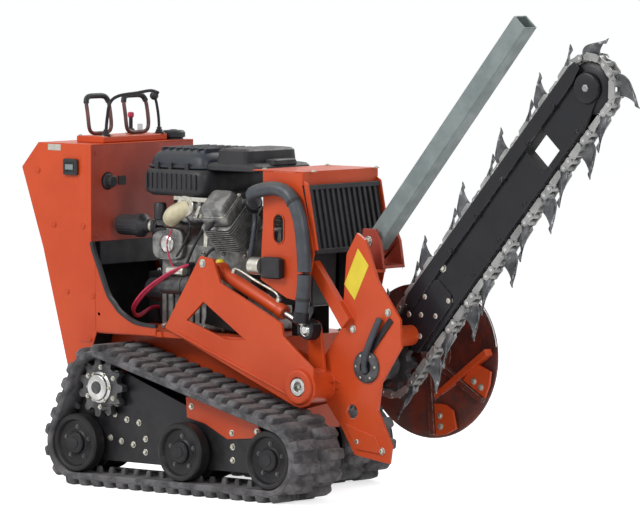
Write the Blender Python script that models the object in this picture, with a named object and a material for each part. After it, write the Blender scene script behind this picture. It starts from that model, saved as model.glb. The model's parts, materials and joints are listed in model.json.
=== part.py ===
"""Walk-behind trencher on two rubber tracks: a long near track, a shorter one beside the soil auger.

Lengths are in metres. +X points to the digging boom, +Y to the auger side and +Z up.
Outlines are written in machine coordinates, where x = 0 and z = WHEEL_Z is the rear idler's axle;
the empty "machine" then moves the whole thing so that the origin is under its middle.
"""

import math

import bmesh
import bpy
import numpy as np
from mathutils import Vector
from mathutils.geometry import tessellate_polygon

# ------------------------------------------------------------------ driving sizes
FIT = 0.0003                # gap between pieces that touch

WIDTH = 0.80                # over both tracks
BELT_WIDTH = 0.24
WHEEL_R = 0.098             # idlers and rollers
BAND = 0.022                # belt thickness without lugs
LUG = 0.020                 # lug height
LUG_PITCH = 0.056
SPROCKET_R = 0.100
SPROCKET_X = 0.095          # ahead of the rear idler
SPROCKET_Z = 0.330
NEAR_TRACK = 0.865          # rear idler to front idler
FAR_TRACK = 0.600
AXLE_R = 0.018

BELLY_TOP = 0.500
BELLY_BOTTOM = 0.200
BELLY_FRONT = 0.700
BELLY_HALF = 0.150
WALL = 0.012                # welded plate of the belly box, open below
DECK = 0.015                # engine deck plate

CONSOLE_HALF = 0.250
CONSOLE_TOP = 1.125
CONSOLE_FRONT = -0.054
SHEET = 0.004               # folded sheet metal

ENGINE_X = 0.150            # rear face of the crankcase
ENGINE_LENGTH = 0.400
ENGINE_HALF = 0.130
ENGINE_TOP = 0.860

HOOD_REAR = 0.630
HOOD_FRONT = 0.850
HOOD_NEAR = -0.200
HOOD_FAR = 0.170
HOOD_TOP = 1.065

PIVOT_X = 0.880             # boom pivot
PIVOT_Z = 0.370
PIN_R = 0.030
PIN_SIDES = 28
HUB_R = 0.056
GUSSET_Y = -0.250           # outer face of the near gusset
GUSSET = 0.012
INNER_GUSSET_Y = -0.100

BOOM_ANGLE = math.radians(48.3)
BOOM_LENGTH = 1.232         # headshaft to nose roller
HEAD_X = 0.195              # headshaft from the boom pivot
HEAD_Z = 0.070
CHAIN_R = 0.085             # sprocket and nose roller
CHAIN_BAND = 0.030
TOOTH = 0.085
TOOTH_PITCH = 0.118
SHAFT_R = 0.022
AUGER_R = 0.255
AUGER_LENGTH = 0.180

BAR_FOOT = (1.010, 0.840)   # hinge of the restraint bar
BAR_ANGLE = math.radians(49.5)
BAR_LENGTH = 0.950
BAR_SIDE = 0.060

CYLINDER_Y = -0.190
BARREL_PIN = (0.475, 0.725)
LEVER_PIN = (-0.012, 0.185)  # from the boom pivot
BARREL_LENGTH = 0.315
BARREL_R = 0.022
ROD_R = 0.012

WHEEL_Z = WHEEL_R + FIT + BAND + LUG
DECK_TOP = BELLY_TOP + DECK


# ------------------------------------------------------------------ helpers
def clear_scene():
    """Remove every object of the scene."""
    for old in list(bpy.data.objects):
        bpy.data.objects.remove(old, do_unlink=True)


def material(name, colour, roughness, metallic=0.0):
    """A Principled material of one colour."""
    made = bpy.data.materials.new(name)
    made.use_nodes = True
    shader = made.node_tree.nodes["Principled BSDF"]
    shader.inputs["Base Color"].default_value = (*colour, 1.0)
    shader.inputs["Roughness"].default_value = roughness
    shader.inputs["Metallic"].default_value = metallic
    made.diffuse_color = (*colour, 1.0)
    return made


def place(axis, a, b, t):
    """A point from its two outline coordinates and its place along the extrusion axis."""
    return {"X": (t, a, b), "Y": (a, t, b), "Z": (a, b, t)}[axis]


def prism(outline, low, high, axis="Y", holes=()):
    """A plate: the outline, with its holes, extruded along the axis from low to high."""
    loops = [list(outline)] + [list(hole) for hole in holes]
    flat = [point for loop in loops for point in loop]
    mesh = bmesh.new()
    bottom = [mesh.verts.new(place(axis, a, b, low)) for a, b in flat]
    top = [mesh.verts.new(place(axis, a, b, high)) for a, b in flat]
    for triangle in tessellate_polygon([[Vector((a, b, 0)) for a, b in loop] for loop in loops]):
        mesh.faces.new([bottom[i] for i in triangle])
        mesh.faces.new([top[i] for i in reversed(triangle)])
    start = 0
    for loop in loops:
        count = len(loop)
        for i in range(count):
            j = start + (i + 1) % count
            i += start
            mesh.faces.new((bottom[i], bottom[j], top[j], top[i]))
        start += count
    bmesh.ops.recalc_face_normals(mesh, faces=mesh.faces)
    return mesh


def box(low, high):
    """A box between two corners."""
    outline = [(low[0], low[2]), (high[0], low[2]), (high[0], high[2]), (low[0], high[2])]
    return prism(outline, low[1], high[1])


def turned(profile, centre, axis="Y", sides=22):
    """A turned shape: the profile of (radius, distance along the axis) about the axis at centre.

    It is closed on the axis where the profile starts and ends at radius 0, and is a ring otherwise.
    """
    mesh = bmesh.new()
    rings = []
    for radius, along in profile:
        ring = []
        for k in range(sides if radius > 0 else 1):
            angle = math.tau * k / sides
            a, b = radius * math.cos(angle), radius * math.sin(angle)
            ring.append(mesh.verts.new(Vector(centre) + Vector(place(axis, a, b, along))))
        rings.append(ring)
    pairs = list(zip(rings, rings[1:]))
    if profile[0][0] > 0:
        pairs.append((rings[-1], rings[0]))
    for one, two in pairs:
        for k in range(sides):
            m = (k + 1) % sides
            corners = [one[k % len(one)], one[m % len(one)], two[m % len(two)], two[k % len(two)]]
            corners = list(dict.fromkeys(corners))
            if len(corners) > 2:
                mesh.faces.new(corners)
    bmesh.ops.recalc_face_normals(mesh, faces=mesh.faces)
    return mesh


def cylinder(radius, low, high, centre, axis="Y", sides=20):
    """A plain cylinder along the axis from low to high."""
    profile = [(0, low), (radius, low), (radius, high), (0, high)]
    middle = [0 if name == axis else value for name, value in zip("XYZ", centre)]
    return turned(profile, middle, axis, sides)


def rod(start, end, radius, sides=16):
    """A cylinder between two points."""
    start, end = Vector(start), Vector(end)
    mesh = cylinder(radius, 0, (end - start).length, (0, 0, 0), "Z", sides)
    turn = (end - start).to_track_quat("Z", "Y").to_matrix().to_4x4()
    bmesh.ops.transform(mesh, matrix=turn, verts=mesh.verts)
    bmesh.ops.translate(mesh, vec=start, verts=mesh.verts)
    return mesh


def circle(x, z, radius, sides=24, turn=0.0):
    """An outline: a circle whose first corner is turned by a share of a side."""
    angles = [math.tau * (k + turn) / sides for k in range(sides)]
    return [(x + radius * math.cos(a), z + radius * math.sin(a)) for a in angles]


def arc(x, z, radius, start, end, steps):
    """An outline's stretch: points on a circle between two angles in degrees."""
    angles = np.radians(np.linspace(start, end, steps + 1))
    return [(x + radius * math.cos(a), z + radius * math.sin(a)) for a in angles]


def cogged(x, z, count, root, tip, width):
    """An outline: a sprocket of so many cogs; width is half a cog at its root and its tip, in pitches."""
    points = []
    for k in range(count):
        for turn, radius in ((-width[0], root), (-width[1], tip), (width[1], tip), (width[0], root)):
            angle = math.tau * (k + turn) / count
            points.append((x + radius * math.cos(angle), z + radius * math.sin(angle)))
    return points


def shape(mesh, name, origin):
    """An object of the mesh whose own origin is the given machine point."""
    bmesh.ops.translate(mesh, vec=-Vector(origin), verts=mesh.verts)
    data = bpy.data.meshes.new(name)
    mesh.to_mesh(data)
    mesh.free()
    data.shade_smooth()
    data.set_sharp_from_angle(angle=math.radians(35))
    made = bpy.data.objects.new(name, data)
    bpy.context.scene.collection.objects.link(made)
    return made


def attach(made, origin, parent):
    """Parent the object, keeping its origin at the given machine point."""
    parent = parent or machine
    made.parent = parent
    made.location = Vector(origin) - Vector(parent["point"])
    made["point"] = origin


def piece(name, mesh, paint, origin=(0, 0, 0), parent=None, add=(), cut=(), bevel=0.0):
    """One named piece: its mesh, then what is welded on, then what is cut away, then a bevel."""
    made = shape(mesh, name, origin)
    made.data.materials.append(paint)
    attach(made, origin, parent)
    for operation, meshes in (("UNION", add), ("DIFFERENCE", cut)):
        for number, other in enumerate(meshes):
            helper = shape(other, f"{name}_{operation.lower()}_{number}", origin)
            helper.hide_render = True
            helper.display_type = "WIRE"
            attach(helper, origin, parent)
            step = made.modifiers.new(operation.title(), "BOOLEAN")
            step.operation = operation
            step.solver = "EXACT"
            step.object = helper
    if bevel:
        step = made.modifiers.new("Bevel", "BEVEL")
        step.width = bevel
        step.segments = 1
        step.limit_method = "ANGLE"
        step.angle_limit = math.radians(50)
    return made


def tube(name, points, radius, paint, parent=None, closed=False, sides=2):
    """A bent round tube or hose through the points."""
    curve = bpy.data.curves.new(name, "CURVE")
    curve.dimensions = "3D"
    curve.bevel_depth = radius
    curve.bevel_resolution = sides
    curve.use_fill_caps = not closed
    spline = curve.splines.new("POLY")
    spline.points.add(len(points) - 1)
    for target, point in zip(spline.points, points):
        target.co = (*point, 1.0)
    spline.use_cyclic_u = closed
    made = bpy.data.objects.new(name, curve)
    bpy.context.scene.collection.objects.link(made)
    curve.materials.append(paint)
    attach(made, (0, 0, 0), parent)
    return made


def smooth_route(points, step):
    """Points every step along a Catmull-Rom curve through the route's own points."""
    p = np.array([points[0], *points, points[-1]], float)
    fine = []
    for a, b, c, d in zip(p, p[1:], p[2:], p[3:]):
        for t in np.linspace(0, 1, 24, endpoint=False):
            fine.append(0.5 * (2 * b + (c - a) * t + (2 * a - 5 * b + 4 * c - d) * t**2
                               + (3 * b - a - 3 * c + d) * t**3))
    fine = np.array([*fine, p[-1]])
    length = np.append(0, np.cumsum(np.linalg.norm(np.diff(fine, axis=0), axis=1)))
    stations = np.linspace(0, length[-1], int(length[-1] / step) + 1)
    return [tuple(np.interp(s, length, fine[:, k]) for k in range(3)) for s in stations]


def empty(name, origin, parent=None):
    """An empty on a joint's axis."""
    made = bpy.data.objects.new(name, None)
    made.empty_display_size = 0.05
    bpy.context.scene.collection.objects.link(made)
    if name == "machine":
        made.location = Vector(origin)
        made["point"] = (0, 0, 0)
    else:
        attach(made, origin, parent)
    return made


# ------------------------------------------------------------------ loops of belt and chain
def loop_around(circles):
    """The tight loop outside circles (x, z, radius), listed anticlockwise.

    Each stretch is (start point, end point, normal) or (centre, radius, angle, turn).
    """
    normals = []
    for (x1, z1, r1), (x2, z2, r2) in zip(circles, circles[1:] + circles[:1]):
        run = np.array([x2 - x1, z2 - z1])
        length = np.linalg.norm(run)
        run = run / length
        lean = (r1 - r2) / length
        normals.append(run * lean + np.array([run[1], -run[0]]) * math.sqrt(1 - lean * lean))
    stretches = []
    for k, (x, z, radius) in enumerate(circles):
        inward, outward = normals[k - 1], normals[k]
        start = math.atan2(inward[1], inward[0])
        turn = (math.atan2(outward[1], outward[0]) - start) % math.tau
        centre = np.array([x, z])
        stretches.append(("arc", centre, radius, start, turn))
        x2, z2, r2 = circles[(k + 1) % len(circles)]
        ends = centre + outward * radius, np.array([x2, z2]) + outward * r2
        stretches.append(("line", *ends, outward))
    return stretches


def stretch_length(stretch):
    """Length of one stretch of a loop."""
    if stretch[0] == "arc":
        return stretch[2] * stretch[4]
    return float(np.linalg.norm(stretch[2] - stretch[1]))


def loop_length(loop):
    """Length of the whole loop."""
    return sum(stretch_length(stretch) for stretch in loop)


def on_loop(loop, distance, offset):
    """The point at a distance along the loop, moved outwards by the offset."""
    distance %= loop_length(loop)
    for stretch in loop:
        length = stretch_length(stretch)
        if distance > length:
            distance -= length
            continue
        if stretch[0] == "arc":
            _, centre, radius, start, turn = stretch
            angle = start + turn * distance / length
            return tuple(centre + (radius + offset) * np.array([math.cos(angle), math.sin(angle)]))
        _, one, two, normal = stretch
        return tuple(one + (two - one) * distance / length + normal * offset)
    return on_loop(loop, 0.0, offset)


def loop_outline(loop, offset, step=math.radians(12)):
    """The loop's outline. Its arcs stand outside the true circle, so that no chord cuts into it."""
    points = []
    for stretch in loop:
        if stretch[0] != "arc":
            continue
        _, centre, radius, start, turn = stretch
        count = max(2, math.ceil(turn / step))
        reach = (radius + offset) / math.cos(turn / count / 2)
        for angle in start + turn * np.linspace(0, 1, count + 1):
            points.append(tuple(centre + reach * np.array([math.cos(angle), math.sin(angle)])))
    return points


# ------------------------------------------------------------------ the machine's extent
HEAD = (PIVOT_X + HEAD_X, PIVOT_Z + HEAD_Z)
NOSE = (HEAD[0] + BOOM_LENGTH * math.cos(BOOM_ANGLE), HEAD[1] + BOOM_LENGTH * math.sin(BOOM_ANGLE))
CHAIN_LOOP = loop_around([(*HEAD, CHAIN_R + FIT), (*NOSE, CHAIN_R + FIT)])
TEETH = round(loop_length(CHAIN_LOOP) / TOOTH_PITCH)


def tooth_outline(number):
    """One digging tooth, in side view: a root on the chain and a tip hooked the way the chain runs."""
    middle = number * loop_length(CHAIN_LOOP) / TEETH
    shape_points = ((-0.026, CHAIN_BAND - 0.006), (0.030, CHAIN_BAND - 0.006),
                    (0.020, CHAIN_BAND + 0.25 * TOOTH), (-0.018, CHAIN_BAND + 0.62 * TOOTH),
                    (-0.048, CHAIN_BAND + TOOTH), (-0.030, CHAIN_BAND + 0.030))
    return [on_loop(CHAIN_LOOP, middle + s, offset) for s, offset in shape_points]


CONSOLE_OUTLINE = [
    (-0.377, 1.040), (-0.300, CONSOLE_TOP), (CONSOLE_FRONT, CONSOLE_TOP), (CONSOLE_FRONT, 0.800),
    (-0.020, 0.715), (0.020, 0.630), (0.080, 0.570), (0.150, 0.540), (0.240, BELLY_TOP + 0.032),
    (0.240, BELLY_TOP), (-0.030, BELLY_TOP), (-0.070, 0.400), (-0.090, 0.335), (-0.135, 0.335),
    (-0.166, 0.380), (-0.278, 0.770)]
REAR_END = min(x for x, z in CONSOLE_OUTLINE)
FRONT_END = max(x for k in range(TEETH) for x, z in tooth_outline(k))
MIDDLE_X = (REAR_END + FRONT_END) / 2

clear_scene()
machine = empty("machine", (-MIDDLE_X, 0, 0))

ORANGE = material("orange paint", (0.62, 0.11, 0.035), 0.38)
DARK_ORANGE = material("auger paint", (0.38, 0.07, 0.03), 0.5)
BLACK = material("black paint", (0.022, 0.022, 0.026), 0.42)
PLASTIC = material("black plastic", (0.03, 0.03, 0.034), 0.5)
RUBBER = material("track rubber", (0.07, 0.066, 0.07), 0.85)
IRON = material("cast iron", (0.09, 0.09, 0.095), 0.55, 0.7)
CASTING = material("engine casting", (0.35, 0.34, 0.32), 0.5, 0.8)
STEEL = material("bright steel", (0.55, 0.55, 0.54), 0.32, 1.0)
GREY = material("grey paint", (0.24, 0.28, 0.28), 0.45)
CHAIN_STEEL = material("chain steel", (0.30, 0.30, 0.26), 0.5, 0.8)
HOSE = material("hose rubber", (0.04, 0.045, 0.05), 0.6)
RED = material("red cable", (0.5, 0.03, 0.06), 0.5)


# ------------------------------------------------------------------ tracks
def track(side, name, front_x, roller_x):
    """One track: side is -1 for the near one. Its frame, wheels, sprocket, motor and belt."""
    middle = side * (WIDTH - BELT_WIDTH) / 2

    def y(offset):
        """A place across the track, from its middle, outwards positive."""
        return middle + side * offset

    def span(a, b):
        """Two places across the track, in rising order."""
        return sorted((y(a), y(b)))

    wheels = {"rear_idler": 0.0, "mid_roller": roller_x, "front_idler": front_x}
    half = BELT_WIDTH / 2
    to_belly = (WIDTH - BELT_WIDTH) / 2 - BELLY_HALF
    inner = (FIT - to_belly, FIT - to_belly + 0.012)
    plate = (0.040, 0.050)
    sleeve = 0.040
    end = sleeve + 0.016
    foot = WHEEL_Z - end
    outline = [(-end, foot), (front_x + end, foot), (front_x + end, WHEEL_Z + 0.040),
               (front_x + 0.020, WHEEL_Z + end), (front_x - 0.300, 0.250),
               (SPROCKET_X + 0.090, SPROCKET_Z + 0.050), (SPROCKET_X - 0.060, SPROCKET_Z + 0.050),
               (-end, 0.200)]
    holes = [circle(x, WHEEL_Z, sleeve + 0.006, 16, 0.2 * k) for k, x in enumerate(wheels.values())]
    holes.append(circle(SPROCKET_X, SPROCKET_Z, 0.046))
    low, high = span(*plate)
    inner_low, inner_high = span(*inner)
    reach = span(inner[0] + 0.003, half - 0.006)
    axles = [cylinder(AXLE_R, *reach, (x, 0, WHEEL_Z), sides=14) for x in wheels.values()]
    ties_at = [(0.135, 0.200), ((roller_x + front_x) / 2, 0.155), (roller_x / 2, 0.130)]
    across = span(inner[0] + 0.003, plate[1] - 0.003)
    ties = [cylinder(0.014, *across, (x, 0, z), sides=8) for x, z in ties_at]
    piece(f"track_frame_{name}", prism(outline, low, high, holes=holes), BLACK,
          add=[prism(outline, inner_low, inner_high,
                     holes=[circle(SPROCKET_X, SPROCKET_Z, 0.046)])] + axles + ties)

    bore = AXLE_R + FIT
    rim, hub = WHEEL_R, 0.034
    wheel = [(bore, -0.085), (rim, -0.080), (rim, 0.028), (sleeve, 0.032), (sleeve, 0.058), (rim, 0.062),
             (rim, half - 0.010), (rim - 0.016, half - 0.008), (rim - 0.026, half - 0.026),
             (hub, half - 0.026), (hub - 0.004, half - 0.010), (bore, half - 0.010)]
    for label, x in wheels.items():
        centre = (x, middle, WHEEL_Z)
        profile = [(r, side * t) for r, t in wheel]
        piece(f"{label}_{name}", turned(profile, centre, sides=22), PLASTIC, centre)

    centre = (SPROCKET_X, middle, SPROCKET_Z)
    pins = 11
    star = cogged(SPROCKET_X, SPROCKET_Z, pins, 0.078, SPROCKET_R, (0.30, 0.16))
    shaft_bore = [circle(SPROCKET_X, SPROCKET_Z, 0.020 + FIT)]
    piece(f"drive_sprocket_{name}", prism(star, *span(0.058, 0.084), holes=shaft_bore), IRON, centre,
          add=[turned([(0.020 + FIT, side * 0.078), (0.050, side * 0.078), (0.044, side * 0.104),
                       (0.020 + FIT, side * 0.104)], centre)])
    piece(f"drive_motor_{name}", cylinder(0.040, *span(FIT - to_belly, 0.054), centre), IRON,
          add=[cylinder(0.020, *span(0.050, 0.108), centre)])

    loop = loop_around([(0.0, WHEEL_Z, WHEEL_R + FIT), (front_x, WHEEL_Z, WHEEL_R + FIT),
                        (SPROCKET_X, SPROCKET_Z, SPROCKET_R + FIT)])
    total = loop_length(loop)
    lugs = round(total / LUG_PITCH)
    outer = []
    for k in range(lugs):
        middle_of_lug = (k + 0.5) * total / lugs
        for s, offset in ((-0.017, BAND), (-0.011, BAND + LUG), (0.011, BAND + LUG), (0.017, BAND)):
            outer.append(on_loop(loop, middle_of_lug + s, offset))
    piece(f"track_belt_{name}", prism(outer, *span(-half, half), holes=[loop_outline(loop, 0.0)]), RUBBER)


track(-1, "near", NEAR_TRACK, 0.475)
track(1, "far", FAR_TRACK, 0.330)

# ------------------------------------------------------------------ chassis
belly = [(0.0, BELLY_BOTTOM), (BELLY_FRONT, BELLY_BOTTOM), (BELLY_FRONT, BELLY_TOP), (-0.060, BELLY_TOP),
         (-0.060, 0.300)]
deck_rear = CONSOLE_HALF - SHEET - FIT
deck_front = -GUSSET_Y - GUSSET - FIT
inner_gusset = [(BELLY_FRONT - 0.010, 0.490), (BELLY_FRONT - 0.010, 0.260),
                *arc(PIVOT_X, PIVOT_Z, 0.060, -70, 80, 6)]
piece("chassis_frame", prism(belly, -BELLY_HALF, BELLY_HALF), ORANGE,
      add=[box((-0.030, -deck_rear, BELLY_TOP - 0.004), (0.262, deck_rear, DECK_TOP)),
           box((0.260, -deck_front, BELLY_TOP - 0.004), (BELLY_FRONT, deck_front, DECK_TOP)),
           prism(inner_gusset, INNER_GUSSET_Y, INNER_GUSSET_Y + GUSSET,
                 holes=[circle(PIVOT_X, PIVOT_Z, PIN_R + FIT, PIN_SIDES)])],
      cut=[box((0.020, WALL - BELLY_HALF, BELLY_BOTTOM - WALL),
               (BELLY_FRONT - WALL, BELLY_HALF - WALL, BELLY_TOP - WALL))])

window = [(0.380, 0.560), (0.455, 0.625), (0.640, 0.510), (0.560, 0.505)]
gusset = [(0.440, 0.775), (0.497, 0.768), (0.530, 0.690), (0.800, 0.572), (0.808, 0.530), (0.940, 0.430),
          *arc(PIVOT_X, PIVOT_Z, 0.068, 30, -110, 6), (0.280, 0.530)]
barrel_x, barrel_z = BARREL_PIN
piece("gusset_near", prism(gusset, GUSSET_Y, GUSSET_Y + GUSSET,
                           holes=[window, circle(PIVOT_X, PIVOT_Z, PIN_R + FIT, PIN_SIDES)]),
      ORANGE,
      add=[cylinder(0.012, GUSSET_Y + 0.006, CYLINDER_Y + 0.020, (barrel_x, 0, barrel_z))])
piece("pivot_pin", cylinder(PIN_R, GUSSET_Y - 0.012, INNER_GUSSET_Y + GUSSET + 0.006,
                            (PIVOT_X, 0, PIVOT_Z), sides=PIN_SIDES), STEEL)

# ------------------------------------------------------------------ console
seam_holes = [circle(-0.020, 0.560, 0.006, 10)]
for side, name in ((-1, "near"), (1, "far")):
    faces = sorted((side * CONSOLE_HALF, side * (CONSOLE_HALF - SHEET)))
    piece(f"console_side_{name}", prism(CONSOLE_OUTLINE, *faces, holes=seam_holes), ORANGE)


def inset(points, depth):
    """An open outline moved to its right by the depth, with mitred corners."""
    p = np.array(points)
    runs = np.diff(p, axis=0)
    runs /= np.linalg.norm(runs, axis=1)[:, None]
    normals = np.stack([runs[:, 1], -runs[:, 0]], axis=1)
    moved = [p[0] + normals[0] * depth]
    for k in range(1, len(p) - 1):
        bisector = normals[k - 1] + normals[k]
        moved.append(p[k] + bisector * depth / (bisector @ normals[k]))
    moved.append(p[-1] + normals[-1] * depth)
    return [tuple(point) for point in moved]


INSIDE = CONSOLE_HALF - SHEET - FIT
skin = [(-0.135, 0.335), (-0.166, 0.380), (-0.278, 0.770), (-0.377, 1.040), (-0.300, CONSOLE_TOP),
        (CONSOLE_FRONT, CONSOLE_TOP)]
wrap = skin + inset(skin, SHEET)[::-1]
CAP_AT = (-0.095, 0.195)
piece("console_wrap", prism(wrap, -INSIDE, INSIDE), ORANGE,
      cut=[cylinder(0.034, CONSOLE_TOP - 0.03, CONSOLE_TOP + 0.03, (*CAP_AT, 0), "Z")])
front_low = 0.800
front = [(-INSIDE, front_low), (INSIDE, front_low), (INSIDE, CONSOLE_TOP - SHEET - FIT),
         (-INSIDE, CONSOLE_TOP - SHEET - FIT)]
KNOB_AT = (-0.170, 1.000)
piece("console_front", prism(front, CONSOLE_FRONT - SHEET, CONSOLE_FRONT, "X",
                             holes=[circle(*KNOB_AT, 0.030, 20)]), DARK_ORANGE)
piece("hour_meter", box((-0.175, -CONSOLE_HALF - 0.014, 1.020), (-0.110, -CONSOLE_HALF - FIT, 1.075)),
      PLASTIC, bevel=0.004)
piece("fuel_tank", box((-0.245, -0.200, 0.720), (CONSOLE_FRONT - SHEET - FIT, 0.230, 1.080)), PLASTIC,
      add=[cylinder(0.033, 1.060, CONSOLE_TOP + 0.006, (*CAP_AT, 0), "Z")])
cap_at = (*CAP_AT, CONSOLE_TOP + 0.006 + FIT)
piece("fuel_cap", turned([(0, 0), (0.040, 0), (0.040, 0.022), (0.032, 0.028), (0, 0.028)], cap_at, "Z"),
      PLASTIC, cap_at)

# ------------------------------------------------------------------ controls
TOWER = (-0.205, -0.165, -0.080, 0.150)   # low x, low y, high x, high y
TOWER_TOP = CONSOLE_TOP + FIT + 0.022
LOOP_R = 0.0065
piece("control_plate", box((TOWER[0], TOWER[1], CONSOLE_TOP + FIT), (TOWER[2], TOWER[3], TOWER_TOP)),
      BLACK, bevel=0.003)
for name, loop_x, low_y in (("left", -0.160, -0.150), ("right", -0.120, -0.010)):
    axis_z = TOWER_TOP + FIT + LOOP_R
    high_y = low_y + 0.110
    top = 0.125
    corner = 0.022
    flat = [*arc(high_y - corner, corner, corner, -90, 0, 4),
            *arc(high_y - corner, top - corner, corner, 0, 90, 4),
            *arc(low_y + corner, top - corner, corner, 90, 180, 4),
            *arc(low_y + corner, corner, corner, 180, 270, 4)]
    corners = [(loop_x - 0.020 * (z / top) ** 2, y, axis_z + z) for y, z in flat]
    pivot = empty(f"traction_{name}_pivot", (loop_x, (low_y + high_y) / 2, axis_z))
    at = pivot["point"]
    tube(f"traction_lever_{name}", corners, LOOP_R, STEEL, closed=True).parent = pivot
    bpy.data.objects[f"traction_lever_{name}"].location = -Vector(at)


def stick(name, x, y, height, lean, paint):
    """A control stick on a ball, with a knob on top. It turns about the ball's middle."""
    ball, knob, bar = 0.011, 0.017, 0.005
    centre = (x, y, TOWER_TOP + FIT + ball)
    half_round = [(bar, height - knob * 0.94), (knob * 0.8, height - knob * 0.6), (knob, height),
                  (knob * 0.8, height + knob * 0.6), (0, height + knob)]
    base = [(0, -ball), (ball * 0.7, -ball * 0.7), (ball, 0), (ball * 0.8, ball * 0.6), (bar, ball * 0.9)]
    mesh = turned(base + half_round, centre, "Z", 16)
    made = piece(name, mesh, paint, centre)
    made.rotation_euler.y = lean
    return made


stick("boom_lever", -0.100, -0.130, 0.105, math.radians(8), BLACK)
stick("chain_lever", -0.100, 0.130, 0.120, math.radians(-6), BLACK)
KEY_AT = (-0.180, 0.120)
throttle_at = (-0.180, 0.075, TOWER_TOP + FIT + 0.008)
piece("throttle_lever", turned([(0, -0.012), (0.008, -0.012), (0.008, 0.012), (0, 0.012)], throttle_at),
      BLACK, throttle_at,
      add=[box((throttle_at[0] - 0.003, throttle_at[1] - 0.007, throttle_at[2]),
               (throttle_at[0] + 0.003, throttle_at[1] + 0.007, throttle_at[2] + 0.060))])
key_at = (*KEY_AT, TOWER_TOP + FIT)
piece("ignition_key", turned([(0, 0), (0.012, 0), (0.012, 0.008), (0.004, 0.010), (0, 0.010)],
                             key_at, "Z", 16), STEEL, key_at,
      add=[box((key_at[0] - 0.011, key_at[1] - 0.0015, key_at[2] + 0.006),
               (key_at[0] + 0.011, key_at[1] + 0.0015, key_at[2] + 0.030))])

# ------------------------------------------------------------------ engine
engine_front = ENGINE_X + ENGINE_LENGTH
VEE = math.radians(42)      # lean of each cylinder
ridge = 0.060
shoulder = ENGINE_TOP - (ENGINE_HALF - ridge) * math.tan(VEE)
case = [(-ENGINE_HALF, DECK_TOP + FIT), (ENGINE_HALF, DECK_TOP + FIT), (ENGINE_HALF, shoulder),
        (ridge, ENGINE_TOP), (-ridge, ENGINE_TOP), (-ENGINE_HALF, shoulder)]
piece("engine_block", prism(case, ENGINE_X, engine_front, "X"), CASTING, bevel=0.008)


def finned_cylinder(side, low, high):
    """One cylinder of the V: a comb of cooling fins, then the head, square to the sloping shoulder."""
    outward = np.array([side * math.sin(VEE), math.cos(VEE)])
    across = np.array([outward[1], -outward[0]])
    foot = np.array([side * (ENGINE_HALF + ridge) / 2, (shoulder + ENGINE_TOP) / 2]) + outward * FIT
    fins, pitch, core, edge = 6, 0.018, 0.055, 0.075
    right = []
    for k in range(fins):
        base = 0.004 + k * pitch
        right += [(core, base), (core, base + 0.009), (edge, base + 0.009), (edge, base + pitch)]
    end = 0.004 + fins * pitch
    right += [(core, end), (core, end + 0.010), (0.062, end + 0.014), (0.062, end + 0.050),
              (0.045, end + 0.062)]
    half = [(core, 0.0)] + right[1:]
    outline = half + [(-a, t) for a, t in reversed(half)]
    return prism([tuple(foot + across * a + outward * t) for a, t in outline], low, high, "X")


piece("cylinder_near", finned_cylinder(-1, 0.415, 0.545), CASTING)
piece("cylinder_far", finned_cylinder(1, 0.405, 0.535), CASTING)
blower = [(-0.060, ENGINE_TOP + FIT), (0.060, ENGINE_TOP + FIT), (0.060, 0.960), (0.190, 0.985),
          (0.190, 1.050), (-0.190, 1.050), (-0.190, 0.985), (-0.060, 0.960)]
piece("blower_housing", prism(blower, 0.110, 0.400, "X"), PLASTIC, bevel=0.010)
cover_z = 1.050 + FIT
cover = [(0.100, cover_z), (0.600, cover_z), (0.600, 1.080), (0.545, 1.120), (0.410, 1.127),
         (0.385, 1.098), (0.320, 1.118), (0.200, 1.118), (0.120, 1.090)]
piece("air_cleaner_cover", prism(cover, -0.170, 0.150), PLASTIC, bevel=0.008)
piece("carburettor", box((0.250, -0.175, 0.875), (0.375, -0.0605, 0.955)), CASTING, bevel=0.010)
piece("oil_filter", turned([(0, 0.060), (0.036, 0.060), (0.040, 0.068), (0.040, 0.145), (0.030, 0.1497),
                            (0, 0.1497)], (0, -0.080, 0.640), "X", 24), BLACK)
piece("muffler", box((0.300, ENGINE_HALF + FIT, 0.540), (0.540, 0.225, 0.680)), IRON, bevel=0.025)
piece("hydraulic_pump", box((engine_front + FIT, -0.060, 0.620), (0.660, 0.060, 0.760)), IRON, bevel=0.012)
piece("battery", box((-0.040, 0.010, DECK_TOP + FIT), (0.0595, 0.180, 0.690)), PLASTIC, bevel=0.005)
tank_front = HOOD_FRONT - 0.040 - FIT
piece("hydraulic_tank", box((0.672, -0.110, 0.620), (tank_front, 0.150, 1.020)), BLACK, bevel=0.015,
      add=[box((0.675, -0.060, BELLY_TOP + DECK + FIT), (BELLY_FRONT - 0.002, 0.100, 0.640))])

# ------------------------------------------------------------------ hood and grille
grille_low = 0.800
lean_out = 0.050
grille = [(HOOD_FRONT - SHEET - FIT, HOOD_TOP - SHEET - FIT), (HOOD_FRONT - 0.040, HOOD_TOP - SHEET - FIT),
          (HOOD_FRONT - 0.040, grille_low), (HOOD_FRONT + lean_out, grille_low),
          (HOOD_FRONT + 0.006, HOOD_TOP - 0.047), (HOOD_FRONT - SHEET - FIT, HOOD_TOP - 0.047)]
piece("front_grille", prism(grille, HOOD_NEAR + SHEET + FIT, HOOD_FAR - SHEET - FIT), PLASTIC)
cheek_top = HOOD_TOP - SHEET - FIT
cheek = [(HOOD_REAR + 0.045, cheek_top), (HOOD_FRONT - SHEET - FIT, cheek_top),
         (HOOD_FRONT - SHEET - FIT, HOOD_TOP - 0.048), (HOOD_FRONT + lean_out, grille_low),
         (HOOD_FRONT + 0.025, 0.700), (HOOD_FRONT + 0.010, 0.640), (0.780, 0.650), (0.665, 0.705),
         (0.668, 0.800), (0.675, 0.900)]
slot = [*arc(0.745, 0.900, 0.022, 0, 180, 6), *arc(0.745, 0.850, 0.022, 180, 360, 6)]
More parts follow.
